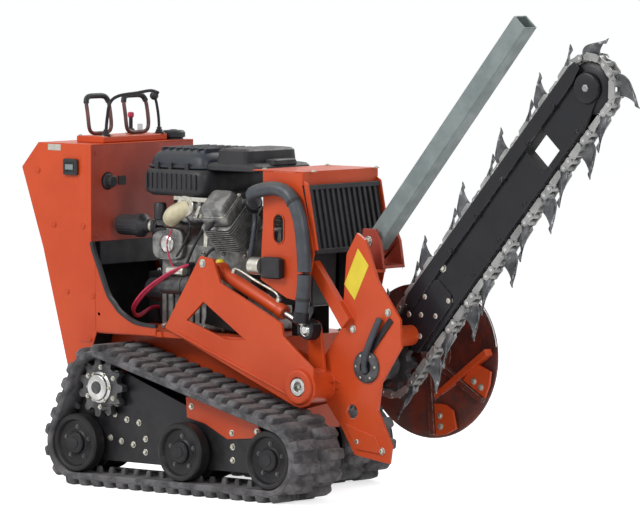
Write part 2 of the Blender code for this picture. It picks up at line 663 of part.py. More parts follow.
piece("hood_cheek_near", prism(cheek, HOOD_NEAR, HOOD_NEAR + SHEET, holes=[slot]), ORANGE)
far_cheek = [(x, z + (SHEET if z == cheek_top else 0)) for x, z in cheek]
piece("hood_top", box((HOOD_REAR, HOOD_NEAR, HOOD_TOP - SHEET), (HOOD_FRONT, HOOD_FAR, HOOD_TOP)), ORANGE,
      add=[box((HOOD_FRONT - SHEET, HOOD_NEAR, HOOD_TOP - 0.045), (HOOD_FRONT, HOOD_FAR, HOOD_TOP - 0.001)),
           prism(far_cheek, HOOD_FAR - SHEET, HOOD_FAR)])

# ------------------------------------------------------------------ boom and its frame
boom_pivot = empty("boom_pivot", (PIVOT_X, 0, PIVOT_Z))
along = np.array([math.cos(BOOM_ANGLE), math.sin(BOOM_ANGLE)])
upward = np.array([-along[1], along[0]])
head = np.array(HEAD)


def on_boom(s, t):
    """A point s along the boom from the headshaft and t above its centre line."""
    return tuple(head + along * s + upward * t)


SWING_Y = (-0.140, -0.128)
LEVER_Y = (-0.165, -0.153)
HUB_Y = (GUSSET_Y + GUSSET + FIT, INNER_GUSSET_Y - FIT)
lever_x, lever_z = PIVOT_X + LEVER_PIN[0], PIVOT_Z + LEVER_PIN[1]
swing = [*arc(PIVOT_X, PIVOT_Z, HUB_R - 0.002, -75, -235, 8), (0.965, 0.560), (0.985, 0.800),
         (1.030, 0.872), (1.066, 0.850), (1.120, 0.720), (1.215, 0.600), (1.220, 0.510), (1.135, 0.390),
         (1.120, 0.300), (1.180, 0.190), (1.170, 0.130), (1.020, 0.150), (0.965, 0.235)]
hexagon = circle(1.010, 0.290, 0.026, 6)
BOSS_AT = on_boom(0.135, 0.0)
lever = [(PIVOT_X - 0.040, PIVOT_Z), (PIVOT_X + 0.040, PIVOT_Z), (lever_x + 0.026, lever_z),
         *arc(lever_x, lever_z, 0.026, 20, 180, 6)]
brace = [(0.838, 0.752), (0.870, 0.776), (1.018, 0.594), (0.986, 0.560)]
hub = turned([(PIN_R + FIT, HUB_Y[0]), (HUB_R, HUB_Y[0]), (HUB_R, HUB_Y[1]), (PIN_R + FIT, HUB_Y[1])],
             (PIVOT_X, 0, PIVOT_Z))
bore_out = cylinder(PIN_R + FIT, HUB_Y[0] - 0.01, HUB_Y[1] + 0.01, (PIVOT_X, 0, PIVOT_Z),
                    sides=PIN_SIDES)
piece("swing_frame", prism(swing, *SWING_Y, holes=[hexagon, circle(*HEAD, SHAFT_R + FIT)]), ORANGE,
      (PIVOT_X, 0, PIVOT_Z), boom_pivot,
      add=[hub, prism(lever, *LEVER_Y), prism(brace, LEVER_Y[0], SWING_Y[0] + 0.002),
           cylinder(0.034, SWING_Y[0] + 0.002, -0.022 - FIT, (BOSS_AT[0], 0, BOSS_AT[1])),
           box((0.990, SWING_Y[0] + 0.002, 0.740), (1.060, -0.032, 0.752))],
      cut=[bore_out])
shelf = 0.752 + FIT
bracket = [(0.975, shelf), (1.075, shelf), (1.060, 0.840), (1.040, 0.880), (0.985, 0.880)]
foot_x, foot_z = BAR_FOOT
piece("bar_bracket", prism(bracket, -0.060, -0.048), DARK_ORANGE, (foot_x, 0, foot_z), boom_pivot,
      add=[prism(bracket, 0.036, 0.048), box((0.977, -0.050, shelf), (1.073, 0.038, 0.765)),
           cylinder(0.012, -0.055, 0.042, (foot_x, 0, foot_z), sides=16)])

bar_pivot = empty("bar_pivot", (foot_x, 0, foot_z), boom_pivot)
bar_along = np.array([math.cos(BAR_ANGLE), math.sin(BAR_ANGLE)])
bar_up = np.array([-bar_along[1], bar_along[0]])
half_bar = BAR_SIDE / 2
bar_corners = [(-0.020, -half_bar), (BAR_LENGTH, -half_bar), (BAR_LENGTH, half_bar), (-0.020, half_bar)]
bar_outline = [tuple(np.array(BAR_FOOT) + bar_along * s + bar_up * t) for s, t in bar_corners]
BAR_Y = (-0.036 - 0.0005, 0.024)
hollow_corners = [(0.100, -half_bar + 0.005), (BAR_LENGTH + 0.02, -half_bar + 0.005),
                  (BAR_LENGTH + 0.02, half_bar - 0.005), (0.100, half_bar - 0.005)]
hollow = [tuple(np.array(BAR_FOOT) + bar_along * s + bar_up * t) for s, t in hollow_corners]
piece("restraint_bar", prism(bar_outline, *BAR_Y, holes=[circle(foot_x, foot_z, 0.012 + FIT, 16)]), GREY,
      (foot_x, 0, foot_z), bar_pivot,
      cut=[prism(hollow, BAR_Y[0] + 0.005, BAR_Y[1] - 0.005)])

BAR_HALF = CHAIN_R - 0.007
NOSE_AXLE = 0.014
boom_end = BOOM_LENGTH - CHAIN_R - 0.012
boom_outline = [on_boom(s, t) for s, t in (
    (0.098, -0.040), (0.135, -BAR_HALF), (boom_end, -BAR_HALF), (BOOM_LENGTH + 0.030, -0.040),
    (BOOM_LENGTH + 0.045, 0.0), (BOOM_LENGTH + 0.030, 0.040), (boom_end, BAR_HALF), (0.135, BAR_HALF),
    (0.098, 0.040))]
diamond = [on_boom(s, t) for s, t in ((0.908, -0.050), (1.008, -0.050), (1.008, 0.050), (0.908, 0.050))]
roller_gap = [on_boom(s, t) for s, t in (
    (boom_end + 0.004, -CHAIN_R), (BOOM_LENGTH + 0.1, -CHAIN_R), (BOOM_LENGTH + 0.1, CHAIN_R),
    (boom_end + 0.004, CHAIN_R))]
nose_x, nose_z = NOSE
piece("boom_bar", prism(boom_outline, -0.022, 0.022, holes=[diamond]), BLACK, (PIVOT_X, 0, PIVOT_Z),
      boom_pivot, cut=[prism(roller_gap, -0.016, 0.016, holes=[circle(nose_x, nose_z, NOSE_AXLE)])])
piece("nose_roller", turned([(NOSE_AXLE + FIT, -0.0155), (CHAIN_R - 0.012, -0.0155), (CHAIN_R, -0.010),
                             (CHAIN_R, 0.010), (CHAIN_R - 0.012, 0.0155), (NOSE_AXLE + FIT, 0.0155)],
                            (nose_x, 0, nose_z)), IRON, (nose_x, 0, nose_z), boom_pivot)

teeth = bmesh.new()
for k in range(TEETH):
    low, high = ((-0.062, 0.020), (-0.020, 0.062))[k % 2]
    one = prism(tooth_outline(k), low, high)
    scratch = bpy.data.meshes.new("tooth")
    one.to_mesh(scratch)
    one.free()
    teeth.from_mesh(scratch)
    bpy.data.meshes.remove(scratch)
piece("digging_chain", prism(loop_outline(CHAIN_LOOP, CHAIN_BAND), -0.024, 0.024,
                             holes=[loop_outline(CHAIN_LOOP, 0.0)]), CHAIN_STEEL,
      (PIVOT_X, 0, PIVOT_Z), boom_pivot, add=[teeth])

# ------------------------------------------------------------------ headshaft, auger and its motor
head_x, head_z = HEAD
head_point = (head_x, 0, head_z)
cogs = 9
star = cogged(head_x, head_z, cogs, 0.062, CHAIN_R, (0.30, 0.14))
shaft_end = 0.080 + AUGER_LENGTH
piece("headshaft", prism(star, -0.012, 0.012), IRON, head_point, boom_pivot,
      add=[cylinder(SHAFT_R, SWING_Y[0] + 0.001, shaft_end, (head_x, 0, head_z))])


def flight(low, high, inner, outer, thick, turns, steps):
    """A helical flight: a flat strip from the inner to the outer radius that climbs along Y."""
    mesh = bmesh.new()
    rows = []
    for k in range(steps + 1):
        angle = math.tau * turns * k / steps - math.radians(70)
        y = low + (high - low - thick) * k / steps
        row = []
        for radius, shift in ((inner, 0), (outer, 0), (outer, thick), (inner, thick)):
            point = (head_x + radius * math.cos(angle), y + shift, head_z + radius * math.sin(angle))
            row.append(mesh.verts.new(point))
        rows.append(row)
    for one, two in zip(rows, rows[1:]):
        for k in range(4):
            mesh.faces.new((one[k], one[k - 1], two[k - 1], two[k]))
    mesh.faces.new(rows[0])
    mesh.faces.new(rows[-1][::-1])
    bmesh.ops.triangulate(mesh, faces=mesh.faces)
    bmesh.ops.recalc_face_normals(mesh, faces=mesh.faces)
    return mesh


sleeve_low = 0.078
piece("soil_auger", turned([(SHAFT_R + FIT, sleeve_low), (0.052, sleeve_low), (0.052, shaft_end),
                            (SHAFT_R + FIT, shaft_end)], head_point), DARK_ORANGE, head_point, boom_pivot,
      add=[flight(sleeve_low + 0.004, shaft_end - 0.004, 0.046, AUGER_R, 0.008, 1.1, 30)])
motor = [(SHAFT_R + FIT, SWING_Y[1] + FIT), (0.056, SWING_Y[1] + FIT), (0.056, -0.085), (0.046, -0.070),
         (0.046, -0.030), (SHAFT_R + FIT, -0.030)]
piece("chain_drive_motor", turned(motor, head_point), IRON, head_point, boom_pivot)

# ------------------------------------------------------------------ lift cylinder
run = np.array([lever_x - barrel_x, lever_z - barrel_z])
reach = float(np.linalg.norm(run))
run = run / reach


def on_cylinder(s):
    """A point s along the lift cylinder from the barrel's pin."""
    return (barrel_x + run[0] * s, CYLINDER_Y, barrel_z + run[1] * s)


barrel_pin = (barrel_x, CYLINDER_Y, barrel_z)
barrel_pivot = empty("barrel_pivot", barrel_pin)
piece("lift_cylinder_barrel", rod(on_cylinder(0.0), on_cylinder(BARREL_LENGTH), BARREL_R, 20), ORANGE,
      barrel_pin, barrel_pivot,
      add=[cylinder(0.027, CYLINDER_Y - 0.020, CYLINDER_Y + 0.020, (barrel_x, 0, barrel_z))],
      cut=[rod(on_cylinder(0.040), on_cylinder(BARREL_LENGTH + 0.01), ROD_R + FIT, 20),
           cylinder(0.012 + FIT, CYLINDER_Y - 0.030, CYLINDER_Y + 0.030, (barrel_x, 0, barrel_z))])
ROD_LENGTH = reach - 0.068
piece("lift_cylinder_rod", rod(on_cylinder(reach - ROD_LENGTH), on_cylinder(reach - 0.016), ROD_R), STEEL,
      on_cylinder(reach), barrel_pivot)
block_y = (CYLINDER_Y - 0.022, LEVER_Y[0] - FIT)
rod_end = on_cylinder(reach)[::2]
square = []
for s, t in ((-0.016 + FIT, -0.030), (0.024, -0.030), (0.034, -0.012), (0.034, 0.012), (0.024, 0.030),
             (-0.016 + FIT, 0.030)):
    square.append((rod_end[0] + run[0] * s - run[1] * t, rod_end[1] + run[1] * s + run[0] * t))
piece("rod_end_block", prism(square, *block_y), BLACK, on_cylinder(reach), barrel_pivot)

# ------------------------------------------------------------------ hose and cable
hose_y = HOOD_NEAR - FIT - 0.0228
hose_route = [(0.590, -0.150, 0.940), (0.625, -0.185, 0.965), (0.658, hose_y - 0.0025, 0.990),
              (0.740, hose_y, 1.008),
              (0.810, hose_y, 0.990), (0.855, hose_y, 0.920), (0.872, hose_y, 0.830), (0.878, hose_y, 0.740),
              (0.872, hose_y, 0.660), (0.866, hose_y, 0.612)]
tube("boom_hose", smooth_route(hose_route, 0.034), 0.0235, HOSE, sides=3)
cable_route = [(0.300, -0.1308, 0.735), (0.296, -0.160, 0.732), (0.240, -0.190, 0.700),
               (0.150, -0.200, 0.640), (0.080, -0.185, 0.580), (0.030, -0.110, 0.548),
               (0.012, -0.030, 0.570), (0.010, 0.0094, 0.572)]
tube("battery_cable", smooth_route(cable_route, 0.026), 0.006, RED)
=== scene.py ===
# %% [markdown]
# A walk-behind trencher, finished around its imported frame. The frame holds every solid at its
# real size; the cells below give each one its surface, and replace the plain solids with
# finer meshes. Everything is in metres, with +X to the digging boom and +Z up.

# %% Load the frame
import json
import math

import bmesh
import bpy
import numpy as np
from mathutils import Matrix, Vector
from mathutils.geometry import tessellate_polygon


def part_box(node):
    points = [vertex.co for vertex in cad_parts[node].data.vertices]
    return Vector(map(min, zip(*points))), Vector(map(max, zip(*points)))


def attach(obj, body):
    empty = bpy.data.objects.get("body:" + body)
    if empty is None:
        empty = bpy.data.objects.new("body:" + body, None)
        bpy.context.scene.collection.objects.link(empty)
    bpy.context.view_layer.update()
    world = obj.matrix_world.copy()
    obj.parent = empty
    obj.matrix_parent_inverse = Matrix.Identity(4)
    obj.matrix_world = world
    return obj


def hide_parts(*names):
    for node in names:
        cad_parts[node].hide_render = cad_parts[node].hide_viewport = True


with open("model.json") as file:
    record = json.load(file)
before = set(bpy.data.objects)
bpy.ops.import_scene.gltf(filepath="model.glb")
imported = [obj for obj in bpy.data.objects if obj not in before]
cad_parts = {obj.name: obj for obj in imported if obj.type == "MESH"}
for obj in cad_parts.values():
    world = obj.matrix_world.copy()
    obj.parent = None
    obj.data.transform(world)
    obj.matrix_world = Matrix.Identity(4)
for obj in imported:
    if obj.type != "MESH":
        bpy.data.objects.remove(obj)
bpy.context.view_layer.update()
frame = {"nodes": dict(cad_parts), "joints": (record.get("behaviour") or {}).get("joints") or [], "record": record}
JOINT = {joint["name"]: joint for joint in frame["joints"]}
BODY_OF = {node: body for body, nodes in frame["record"]["behaviour"]["bodies"].items() for node in nodes}

# %% [markdown]
# Sizes are read from the frame, so a piece follows its solid. A joint gives the axis that a
# wheel or a shaft turns about, and a box gives a solid's lowest and highest corners.

# %% Places read from the frame


def pivot(joint):
    """The point on a joint's axis, as an array."""
    return np.array(JOINT[joint]["pos_m"], float)


def corners(node):
    """The lowest and highest corner of a solid, as arrays."""
    low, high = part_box(node)
    return np.array(low, float), np.array(high, float)


REAR = pivot("rear_idler_near_spin")        # rear idler's axle: the machine's own zero along X
GROUND = 0.0
PIVOT = pivot("boom_lift")
HEAD = pivot("headshaft_spin")
NOSE = pivot("nose_roller_spin")
BOOM = NOSE - HEAD
BOOM_LENGTH = float(np.linalg.norm(BOOM))
ALONG = BOOM / BOOM_LENGTH
ABOVE = np.array([-ALONG[2], 0.0, ALONG[0]])
print("boom", round(BOOM_LENGTH, 3), "m at", round(math.degrees(math.asin(ALONG[2])), 1), "degrees")


def at(x, y, z):
    """A point given from the rear idler's axle along X, and from the machine's middle and the ground."""
    return np.array([REAR[0] + x, y, z])


def side_outline(*points):
    """An outline in the X-Z plane from (x, z) points of the machine."""
    return [at(x, 0, z)[[0, 2]] for x, z in points]


# %% [markdown]
# The camera stands low in front of the near track with a long lens, so that the lines stay
# nearly parallel. Broad soft lamps and a pale floor light it as a studio would.

# %% Camera
AZIMUTH = math.radians(41.8)
ELEVATION = math.radians(4.0)
DISTANCE = 20.0
AIM = Vector(at(0.746, 0.0, 0.760))

scene = bpy.context.scene
camera = bpy.data.objects.new("camera", bpy.data.cameras.new("camera"))
scene.collection.objects.link(camera)
back = Vector((math.sin(AZIMUTH) * math.cos(ELEVATION), -math.cos(AZIMUTH) * math.cos(ELEVATION),
               math.sin(ELEVATION)))
camera.location = AIM + back * DISTANCE
camera.rotation_mode = "QUATERNION"
camera.rotation_quaternion = (-back).to_track_quat("-Z", "Y")
camera.data.lens = 343.0
camera.data.sensor_width = 36.0
camera.data.clip_end = 200.0
scene.camera = camera

# %% Lamps, world and floor


def lamp(name, place, aim, size, watts, tint=(1.0, 1.0, 1.0)):
    """A square soft lamp at a place, turned to its aim."""
    data = bpy.data.lights.new(name, "AREA")
    data.shape = "SQUARE"
    data.size = size
    data.energy = watts
    data.color = tint
    made = bpy.data.objects.new(name, data)
    scene.collection.objects.link(made)
    made.location = place
    made.rotation_mode = "QUATERNION"
    made.rotation_quaternion = (Vector(aim) - Vector(place)).to_track_quat("-Z", "Y")
    return made


def seen_by(nodes, links):
    """A mask of the rays that look straight at a surface, in a mirror of it, or through glass: 1, else 0."""
    path = nodes.new("ShaderNodeLightPath")
    mask = path.outputs["Is Camera Ray"]
    for name in ("Is Glossy Ray", "Is Transmission Ray"):
        most = nodes.new("ShaderNodeMath")
        most.operation = "MAXIMUM"
        links.new(mask, most.inputs[0])
        links.new(path.outputs[name], most.inputs[1])
        mask = most.outputs[0]
    return mask


lamp("key lamp", (-1.6, -4.6, 4.4), (0.0, 0.0, 0.6), 2.4, 215)
lamp("side lamp", (4.6, -2.0, 3.0), (0.0, 0.0, 0.6), 2.0, 80)
lamp("back lamp", (-1.0, 4.5, 4.0), (0.0, 0.0, 0.8), 3.0, 130)

world = bpy.data.worlds.new("studio")
world.use_nodes = True
scene.world = world
nodes, links = world.node_tree.nodes, world.node_tree.links
nodes.clear()
seen = seen_by(nodes, links)
soft = nodes.new("ShaderNodeBackground")
soft.inputs["Color"].default_value = (0.93, 0.96, 1.0, 1.0)
soft.inputs["Strength"].default_value = 0.42
white = nodes.new("ShaderNodeBackground")
white.inputs["Color"].default_value = (1.0, 1.0, 1.0, 1.0)
white.inputs["Strength"].default_value = 1.0
choose = nodes.new("ShaderNodeMixShader")
links.new(seen, choose.inputs["Fac"])
links.new(soft.outputs[0], choose.inputs[1])
links.new(white.outputs[0], choose.inputs[2])
links.new(choose.outputs[0], nodes.new("ShaderNodeOutputWorld").inputs["Surface"])

scene.view_settings.view_transform = "Standard"

floor_paint = bpy.data.materials.new("studio floor")
floor_paint.use_nodes = True
nodes, links = floor_paint.node_tree.nodes, floor_paint.node_tree.links
nodes.clear()
plain = nodes.new("ShaderNodeBsdfDiffuse")
plain.inputs["Color"].default_value = (0.80, 0.80, 0.80, 1.0)
lift = nodes.new("ShaderNodeEmission")
lift.inputs["Color"].default_value = (1.0, 1.0, 1.0, 1.0)
lift.inputs["Strength"].default_value = 0.68
both = nodes.new("ShaderNodeAddShader")
links.new(plain.outputs[0], both.inputs[0])
links.new(lift.outputs[0], both.inputs[1])
choose = nodes.new("ShaderNodeMixShader")
links.new(seen_by(nodes, links), choose.inputs["Fac"])
links.new(plain.outputs[0], choose.inputs[1])
links.new(both.outputs[0], choose.inputs[2])
links.new(choose.outputs[0], nodes.new("ShaderNodeOutputMaterial").inputs["Surface"])
floor_mesh = bpy.data.meshes.new("floor")
reach = 60.0
floor_mesh.from_pydata([(-reach, -reach, GROUND), (reach, -reach, GROUND), (reach, reach, GROUND),
                        (-reach, reach, GROUND)], [], [(0, 1, 2, 3)])
floor_mesh.materials.append(floor_paint)
floor = bpy.data.objects.new("floor", floor_mesh)
scene.collection.objects.link(floor)

# %% [markdown]
# Effects that many finishes share are node groups: mottling breaks up a flat colour, edge wear
# finds corners by comparing a rounded normal with the true one, settled dust gathers on faces
# that look up and near the ground, and grain gives the fine bump of each surface.

# %% Shared effects


def group(name, inputs, outputs):
    """A new shader node group with float or colour sockets; returns it with its two end nodes."""
    tree = bpy.data.node_groups.new(name, "ShaderNodeTree")
    for label, value in inputs.items():
        kind = "NodeSocketColor" if isinstance(value, tuple) else "NodeSocketFloat"
        socket = tree.interface.new_socket(name=label, in_out="INPUT", socket_type=kind)
        socket.default_value = value
    for label, kind in outputs.items():
        tree.interface.new_socket(name=label, in_out="OUTPUT", socket_type=kind)
    return tree, tree.nodes.new("NodeGroupInput"), tree.nodes.new("NodeGroupOutput")


def maths(tree, operation, *values):
    """A Math node on values or sockets; returns its output."""
    node = tree.nodes.new("ShaderNodeMath")
    node.operation = operation
    for socket, value in zip(node.inputs, values):
        if isinstance(value, (int, float)):
            socket.default_value = value
        else:
            tree.links.new(value, socket)
    return node.outputs[0]


def clamp_range(tree, value, low, high):
    """The value spread from low..high to 0..1 and clamped."""
    node = tree.nodes.new("ShaderNodeMapRange")
    node.clamp = True
    node.interpolation_type = "SMOOTHSTEP"
    tree.links.new(value, node.inputs["Value"])
    for label, bound in (("From Min", low), ("From Max", high)):
        if isinstance(bound, (int, float)):
            node.inputs[label].default_value = bound
        else:
            tree.links.new(bound, node.inputs[label])
    return node.outputs["Result"]


def noise(tree, scale, detail=4.0, roughness=0.55, stretch=(1, 1, 1)):
    """A noise on object coordinates, in features per metre; returns its value."""
    place = tree.nodes.new("ShaderNodeTexCoord").outputs["Object"]
    if stretch != (1, 1, 1):
        mapping = tree.nodes.new("ShaderNodeMapping")
        mapping.inputs["Scale"].default_value = stretch
        tree.links.new(place, mapping.inputs["Vector"])
        place = mapping.outputs["Vector"]
    node = tree.nodes.new("ShaderNodeTexNoise")
    tree.links.new(place, node.inputs["Vector"])
    if isinstance(scale, (int, float)):
        node.inputs["Scale"].default_value = scale
    else:
        tree.links.new(scale, node.inputs["Scale"])
    node.inputs["Detail"].default_value = detail
    node.inputs["Roughness"].default_value = roughness
    return node.outputs["Fac"]


def build_mottling():
    """Colour between two tints by a cloudy noise."""
    tree, inside, outside = group("mottling", {"Scale": 9.0, "Sharpness": 0.18, "First": (0.5, 0.5, 0.5, 1),
                                               "Second": (0.4, 0.4, 0.4, 1)},
                                  {"Color": "NodeSocketColor", "Value": "NodeSocketFloat"})
    cloud = noise(tree, inside.outputs["Scale"], 5.0, 0.6)
    low = maths(tree, "SUBTRACT", 0.5, inside.outputs["Sharpness"])
    high = maths(tree, "ADD", 0.5, inside.outputs["Sharpness"])
    mask = clamp_range(tree, cloud, low, high)
    mix = tree.nodes.new("ShaderNodeMix")
    mix.data_type = "RGBA"
    tree.links.new(mask, mix.inputs["Factor"])
    tree.links.new(inside.outputs["First"], mix.inputs[6])
    tree.links.new(inside.outputs["Second"], mix.inputs[7])
    tree.links.new(mix.outputs[2], outside.inputs["Color"])
    tree.links.new(mask, outside.inputs["Value"])
    return tree


def build_edge_wear():
    """Mask of worn corners: one minus the cosine between rounded and true normal, broken by noise."""
    tree, inside, outside = group("edge wear", {"Width": 0.003, "Amount": 0.5}, {"Mask": "NodeSocketFloat"})
    rounded = tree.nodes.new("ShaderNodeBevel")
    rounded.samples = 4
    tree.links.new(inside.outputs["Width"], rounded.inputs["Radius"])
    true = tree.nodes.new("ShaderNodeNewGeometry").outputs["Normal"]
    dot = tree.nodes.new("ShaderNodeVectorMath")
    dot.operation = "DOT_PRODUCT"
    tree.links.new(rounded.outputs["Normal"], dot.inputs[0])
    tree.links.new(true, dot.inputs[1])
    corner = clamp_range(tree, maths(tree, "SUBTRACT", 1.0, dot.outputs["Value"]), 0.02, 0.22)
    broken = clamp_range(tree, noise(tree, 46.0, 6.0, 0.7), 0.42, 0.62)
    mask = maths(tree, "MULTIPLY", corner, broken)
    tree.links.new(maths(tree, "MULTIPLY", mask, inside.outputs["Amount"]), outside.inputs["Mask"])
    return tree


def build_dust():
    """Mask of dust: upward faces, and a band near the ground, both patchy."""
    tree, inside, outside = group("settled dust", {"Upward": 0.4, "Low": 0.4, "Height": 0.5},
                                  {"Mask": "NodeSocketFloat"})
    normal = tree.nodes.new("ShaderNodeSeparateXYZ")
    tree.links.new(tree.nodes.new("ShaderNodeNewGeometry").outputs["Normal"], normal.inputs[0])
    upward = maths(tree, "MULTIPLY", clamp_range(tree, normal.outputs["Z"], 0.35, 1.0),
                   inside.outputs["Upward"])
    place = tree.nodes.new("ShaderNodeSeparateXYZ")
    tree.links.new(tree.nodes.new("ShaderNodeTexCoord").outputs["Object"], place.inputs[0])
    high = clamp_range(tree, place.outputs["Z"], 0.0, inside.outputs["Height"])
    low = maths(tree, "MULTIPLY", maths(tree, "SUBTRACT", 1.0, high), inside.outputs["Low"])
    patches = clamp_range(tree, noise(tree, 14.0, 6.0, 0.65), 0.30, 0.70)
    total = maths(tree, "MULTIPLY", maths(tree, "MAXIMUM", upward, low), patches)
    tree.links.new(total, outside.inputs["Mask"])
    return tree


def build_grain():
    """A fine bump of a given scale and height."""
    tree, inside, outside = group("grain", {"Scale": 300.0, "Height": 0.1, "Distance": 0.001},
                                  {"Normal": "NodeSocketVector"})
    bump = tree.nodes.new("ShaderNodeBump")
    tree.links.new(noise(tree, inside.outputs["Scale"], 3.0, 0.5), bump.inputs["Height"])
    tree.links.new(inside.outputs["Height"], bump.inputs["Strength"])
    tree.links.new(inside.outputs["Distance"], bump.inputs["Distance"])
    tree.links.new(bump.outputs["Normal"], outside.inputs["Normal"])
    return tree


MOTTLING, EDGE_WEAR, DUST, GRAIN = build_mottling(), build_edge_wear(), build_dust(), build_grain()
print("effects:", [tree.name for tree in (MOTTLING, EDGE_WEAR, DUST, GRAIN)])

# %% [markdown]
# Each finish is one Principled shader. Its colour runs through the same chain: mottled base,
# then worn edges, then dust. Only the numbers differ between enamel, casting, rubber and steel.

# %% Finishes


def linear(colour):
    """A colour written as 0-255 display values, as linear light."""
    share = np.array(colour) / 255.0
    return tuple(np.where(share <= 0.04045, share / 12.92, ((share + 0.055) / 1.055) ** 2.4)) + (1.0,)


def use(tree, effect, **values):
    """Places a shared effect in a material with its own values."""
    node = tree.nodes.new("ShaderNodeGroup")
    node.node_tree = effect
    for label, value in values.items():
        node.inputs[label].default_value = value
    return node


def finish_of(name, colour, second, rough, metallic=0.0, worn=None, wear=0.0, wear_width=0.003,
              dust=(0.0, 0.0), dust_colour=(150, 138, 120), mottle=9.0, sharp=0.18, grain=(300.0, 0.06),
              coat=0.0, rough_spread=0.08, shine=0.5):
    """A finish: mottled colour, worn edges, dust, and a grain of the given scale and strength."""
    made = bpy.data.materials.new(name)
    made.use_nodes = True
    tree = made.node_tree
    shader = tree.nodes["Principled BSDF"]
    base = use(tree, MOTTLING, Scale=mottle, Sharpness=sharp, First=linear(colour), Second=linear(second))
    colour_out = base.outputs["Color"]
    rough_node = tree.nodes.new("ShaderNodeMapRange")
    rough_node.inputs["To Min"].default_value = rough - rough_spread
    rough_node.inputs["To Max"].default_value = rough + rough_spread
    tree.links.new(base.outputs["Value"], rough_node.inputs["Value"])
    rough_out = rough_node.outputs["Result"]
    if wear:
        mask = use(tree, EDGE_WEAR, Width=wear_width, Amount=wear)
        mix = tree.nodes.new("ShaderNodeMix")
        mix.data_type = "RGBA"
        tree.links.new(mask.outputs["Mask"], mix.inputs["Factor"])
        tree.links.new(colour_out, mix.inputs[6])
        mix.inputs[7].default_value = linear(worn)
        colour_out = mix.outputs[2]
    if any(dust):
        mask = use(tree, DUST, Upward=dust[0], Low=dust[1])
        mix = tree.nodes.new("ShaderNodeMix")
        mix.data_type = "RGBA"
        tree.links.new(mask.outputs["Mask"], mix.inputs["Factor"])
        tree.links.new(colour_out, mix.inputs[6])
        mix.inputs[7].default_value = linear(dust_colour)
        colour_out = mix.outputs[2]
        rough_out = maths(tree, "ADD", rough_out, maths(tree, "MULTIPLY", mask.outputs["Mask"], 0.35))
    tree.links.new(colour_out, shader.inputs["Base Color"])
    tree.links.new(rough_out, shader.inputs["Roughness"])
    shader.inputs["Metallic"].default_value = metallic
    shader.inputs["Coat Weight"].default_value = coat
    shader.inputs["Specular IOR Level"].default_value = shine
    bump = use(tree, GRAIN, Scale=grain[0], Height=grain[1])
    tree.links.new(bump.outputs["Normal"], shader.inputs["Normal"])
    made.diffuse_color = linear(colour)
    return made


ENAMEL = finish_of("orange enamel", (198, 72, 26), (188, 65, 23), 0.44, worn=(150, 52, 28), wear=0.55,
                   dust=(0.08, 0.08), coat=0.08, mottle=5.0, grain=(420.0, 0.05), shine=0.35)
# A darker copy of the orange enamel: painted shade for the console front, which faces away from the key lamp. The
# same enamel also marks seams and strips and colours the bar bracket.
DARK_ENAMEL = finish_of("shaded orange enamel", (168, 64, 44), (146, 54, 38), 0.50, worn=(90, 40, 30),
                        wear=0.4, dust=(0.10, 0.15), mottle=7.0, grain=(420.0, 0.06))
AUGER_ENAMEL = finish_of("scuffed auger enamel", (104, 40, 28), (70, 30, 24), 0.46, worn=(196, 190, 178),
                         wear=0.9, wear_width=0.005, dust=(0.08, 0.10), mottle=16.0, sharp=0.10,
                         grain=(160.0, 0.15))
BLACK_ENAMEL = finish_of("black enamel", (30, 30, 35), (20, 20, 24), 0.36, worn=(120, 120, 118), wear=0.6,
                         dust=(0.05, 0.05), coat=0.03, mottle=11.0, grain=(380.0, 0.05), shine=0.25)
BLACK_PLASTIC = finish_of("black plastic", (44, 44, 47), (36, 36, 39), 0.48, worn=(80, 80, 82), wear=0.35,
                          dust=(0.10, 0.04), mottle=20.0, grain=(900.0, 0.10), shine=0.3)
TRACK_RUBBER = finish_of("dusty track rubber", (98, 96, 98), (62, 61, 63), 0.80, worn=(132, 130, 130),
                         wear=0.5, wear_width=0.004, dust=(0.30, 0.12), dust_colour=(138, 134, 130),
                         mottle=22.0, sharp=0.12, grain=(240.0, 0.30))
WHEEL_RUBBER = finish_of("wheel rubber", (26, 26, 30), (18, 18, 21), 0.46, worn=(96, 94, 92), wear=0.4,
                         dust=(0.06, 0.05), mottle=18.0, grain=(300.0, 0.12), shine=0.25)
IRON = finish_of("grey iron", (86, 86, 88), (62, 62, 64), 0.52, 0.55, worn=(150, 148, 144), wear=0.6,
                 dust=(0.2, 0.2), mottle=26.0, sharp=0.12, grain=(220.0, 0.22))
CASTING = finish_of("engine casting", (140, 140, 138), (100, 100, 99), 0.48, 0.7, worn=(214, 212, 206),
                    wear=0.5, dust=(0.15, 0.0), mottle=30.0, sharp=0.14, grain=(260.0, 0.22))
LOOP_ENAMEL = finish_of("red-brown enamel", (104, 52, 44), (62, 36, 34), 0.42, worn=(170, 120, 104), wear=0.6,
                        mottle=30.0, grain=(400.0, 0.06))
STEEL = finish_of("bright steel", (196, 196, 194), (168, 168, 166), 0.30, 1.0, worn=(230, 230, 228),
                  wear=0.3, mottle=40.0, grain=(500.0, 0.04))
ZINC = finish_of("zinc plate", (200, 198, 190), (168, 164, 150), 0.38, 0.9, mottle=60.0, grain=(300.0, 0.08))
GREY_ENAMEL = finish_of("grey enamel", (126, 136, 135), (108, 118, 117), 0.44, worn=(96, 100, 100), wear=0.6,
                        dust=(0.1, 0.0), mottle=14.0, grain=(300.0, 0.08))
CHAIN_STEEL = finish_of("worn chain steel", (158, 158, 156), (118, 118, 117), 0.42, 0.55,
                        worn=(222, 222, 220), wear=0.5, dust=(0.05, 0.0), mottle=14.0, sharp=0.20,
                        grain=(260.0, 0.08))
TOOTH_STEEL = finish_of("tooth steel", (98, 99, 101), (62, 63, 66), 0.46, 0.6, worn=(190, 190, 190),
                        wear=0.9, wear_width=0.004, mottle=18.0, sharp=0.16, grain=(220.0, 0.12))
HOSE_RUBBER = finish_of("hose rubber", (56, 60, 66), (46, 50, 56), 0.50, dust=(0.25, 0.0), mottle=24.0,
                        grain=(500.0, 0.14))
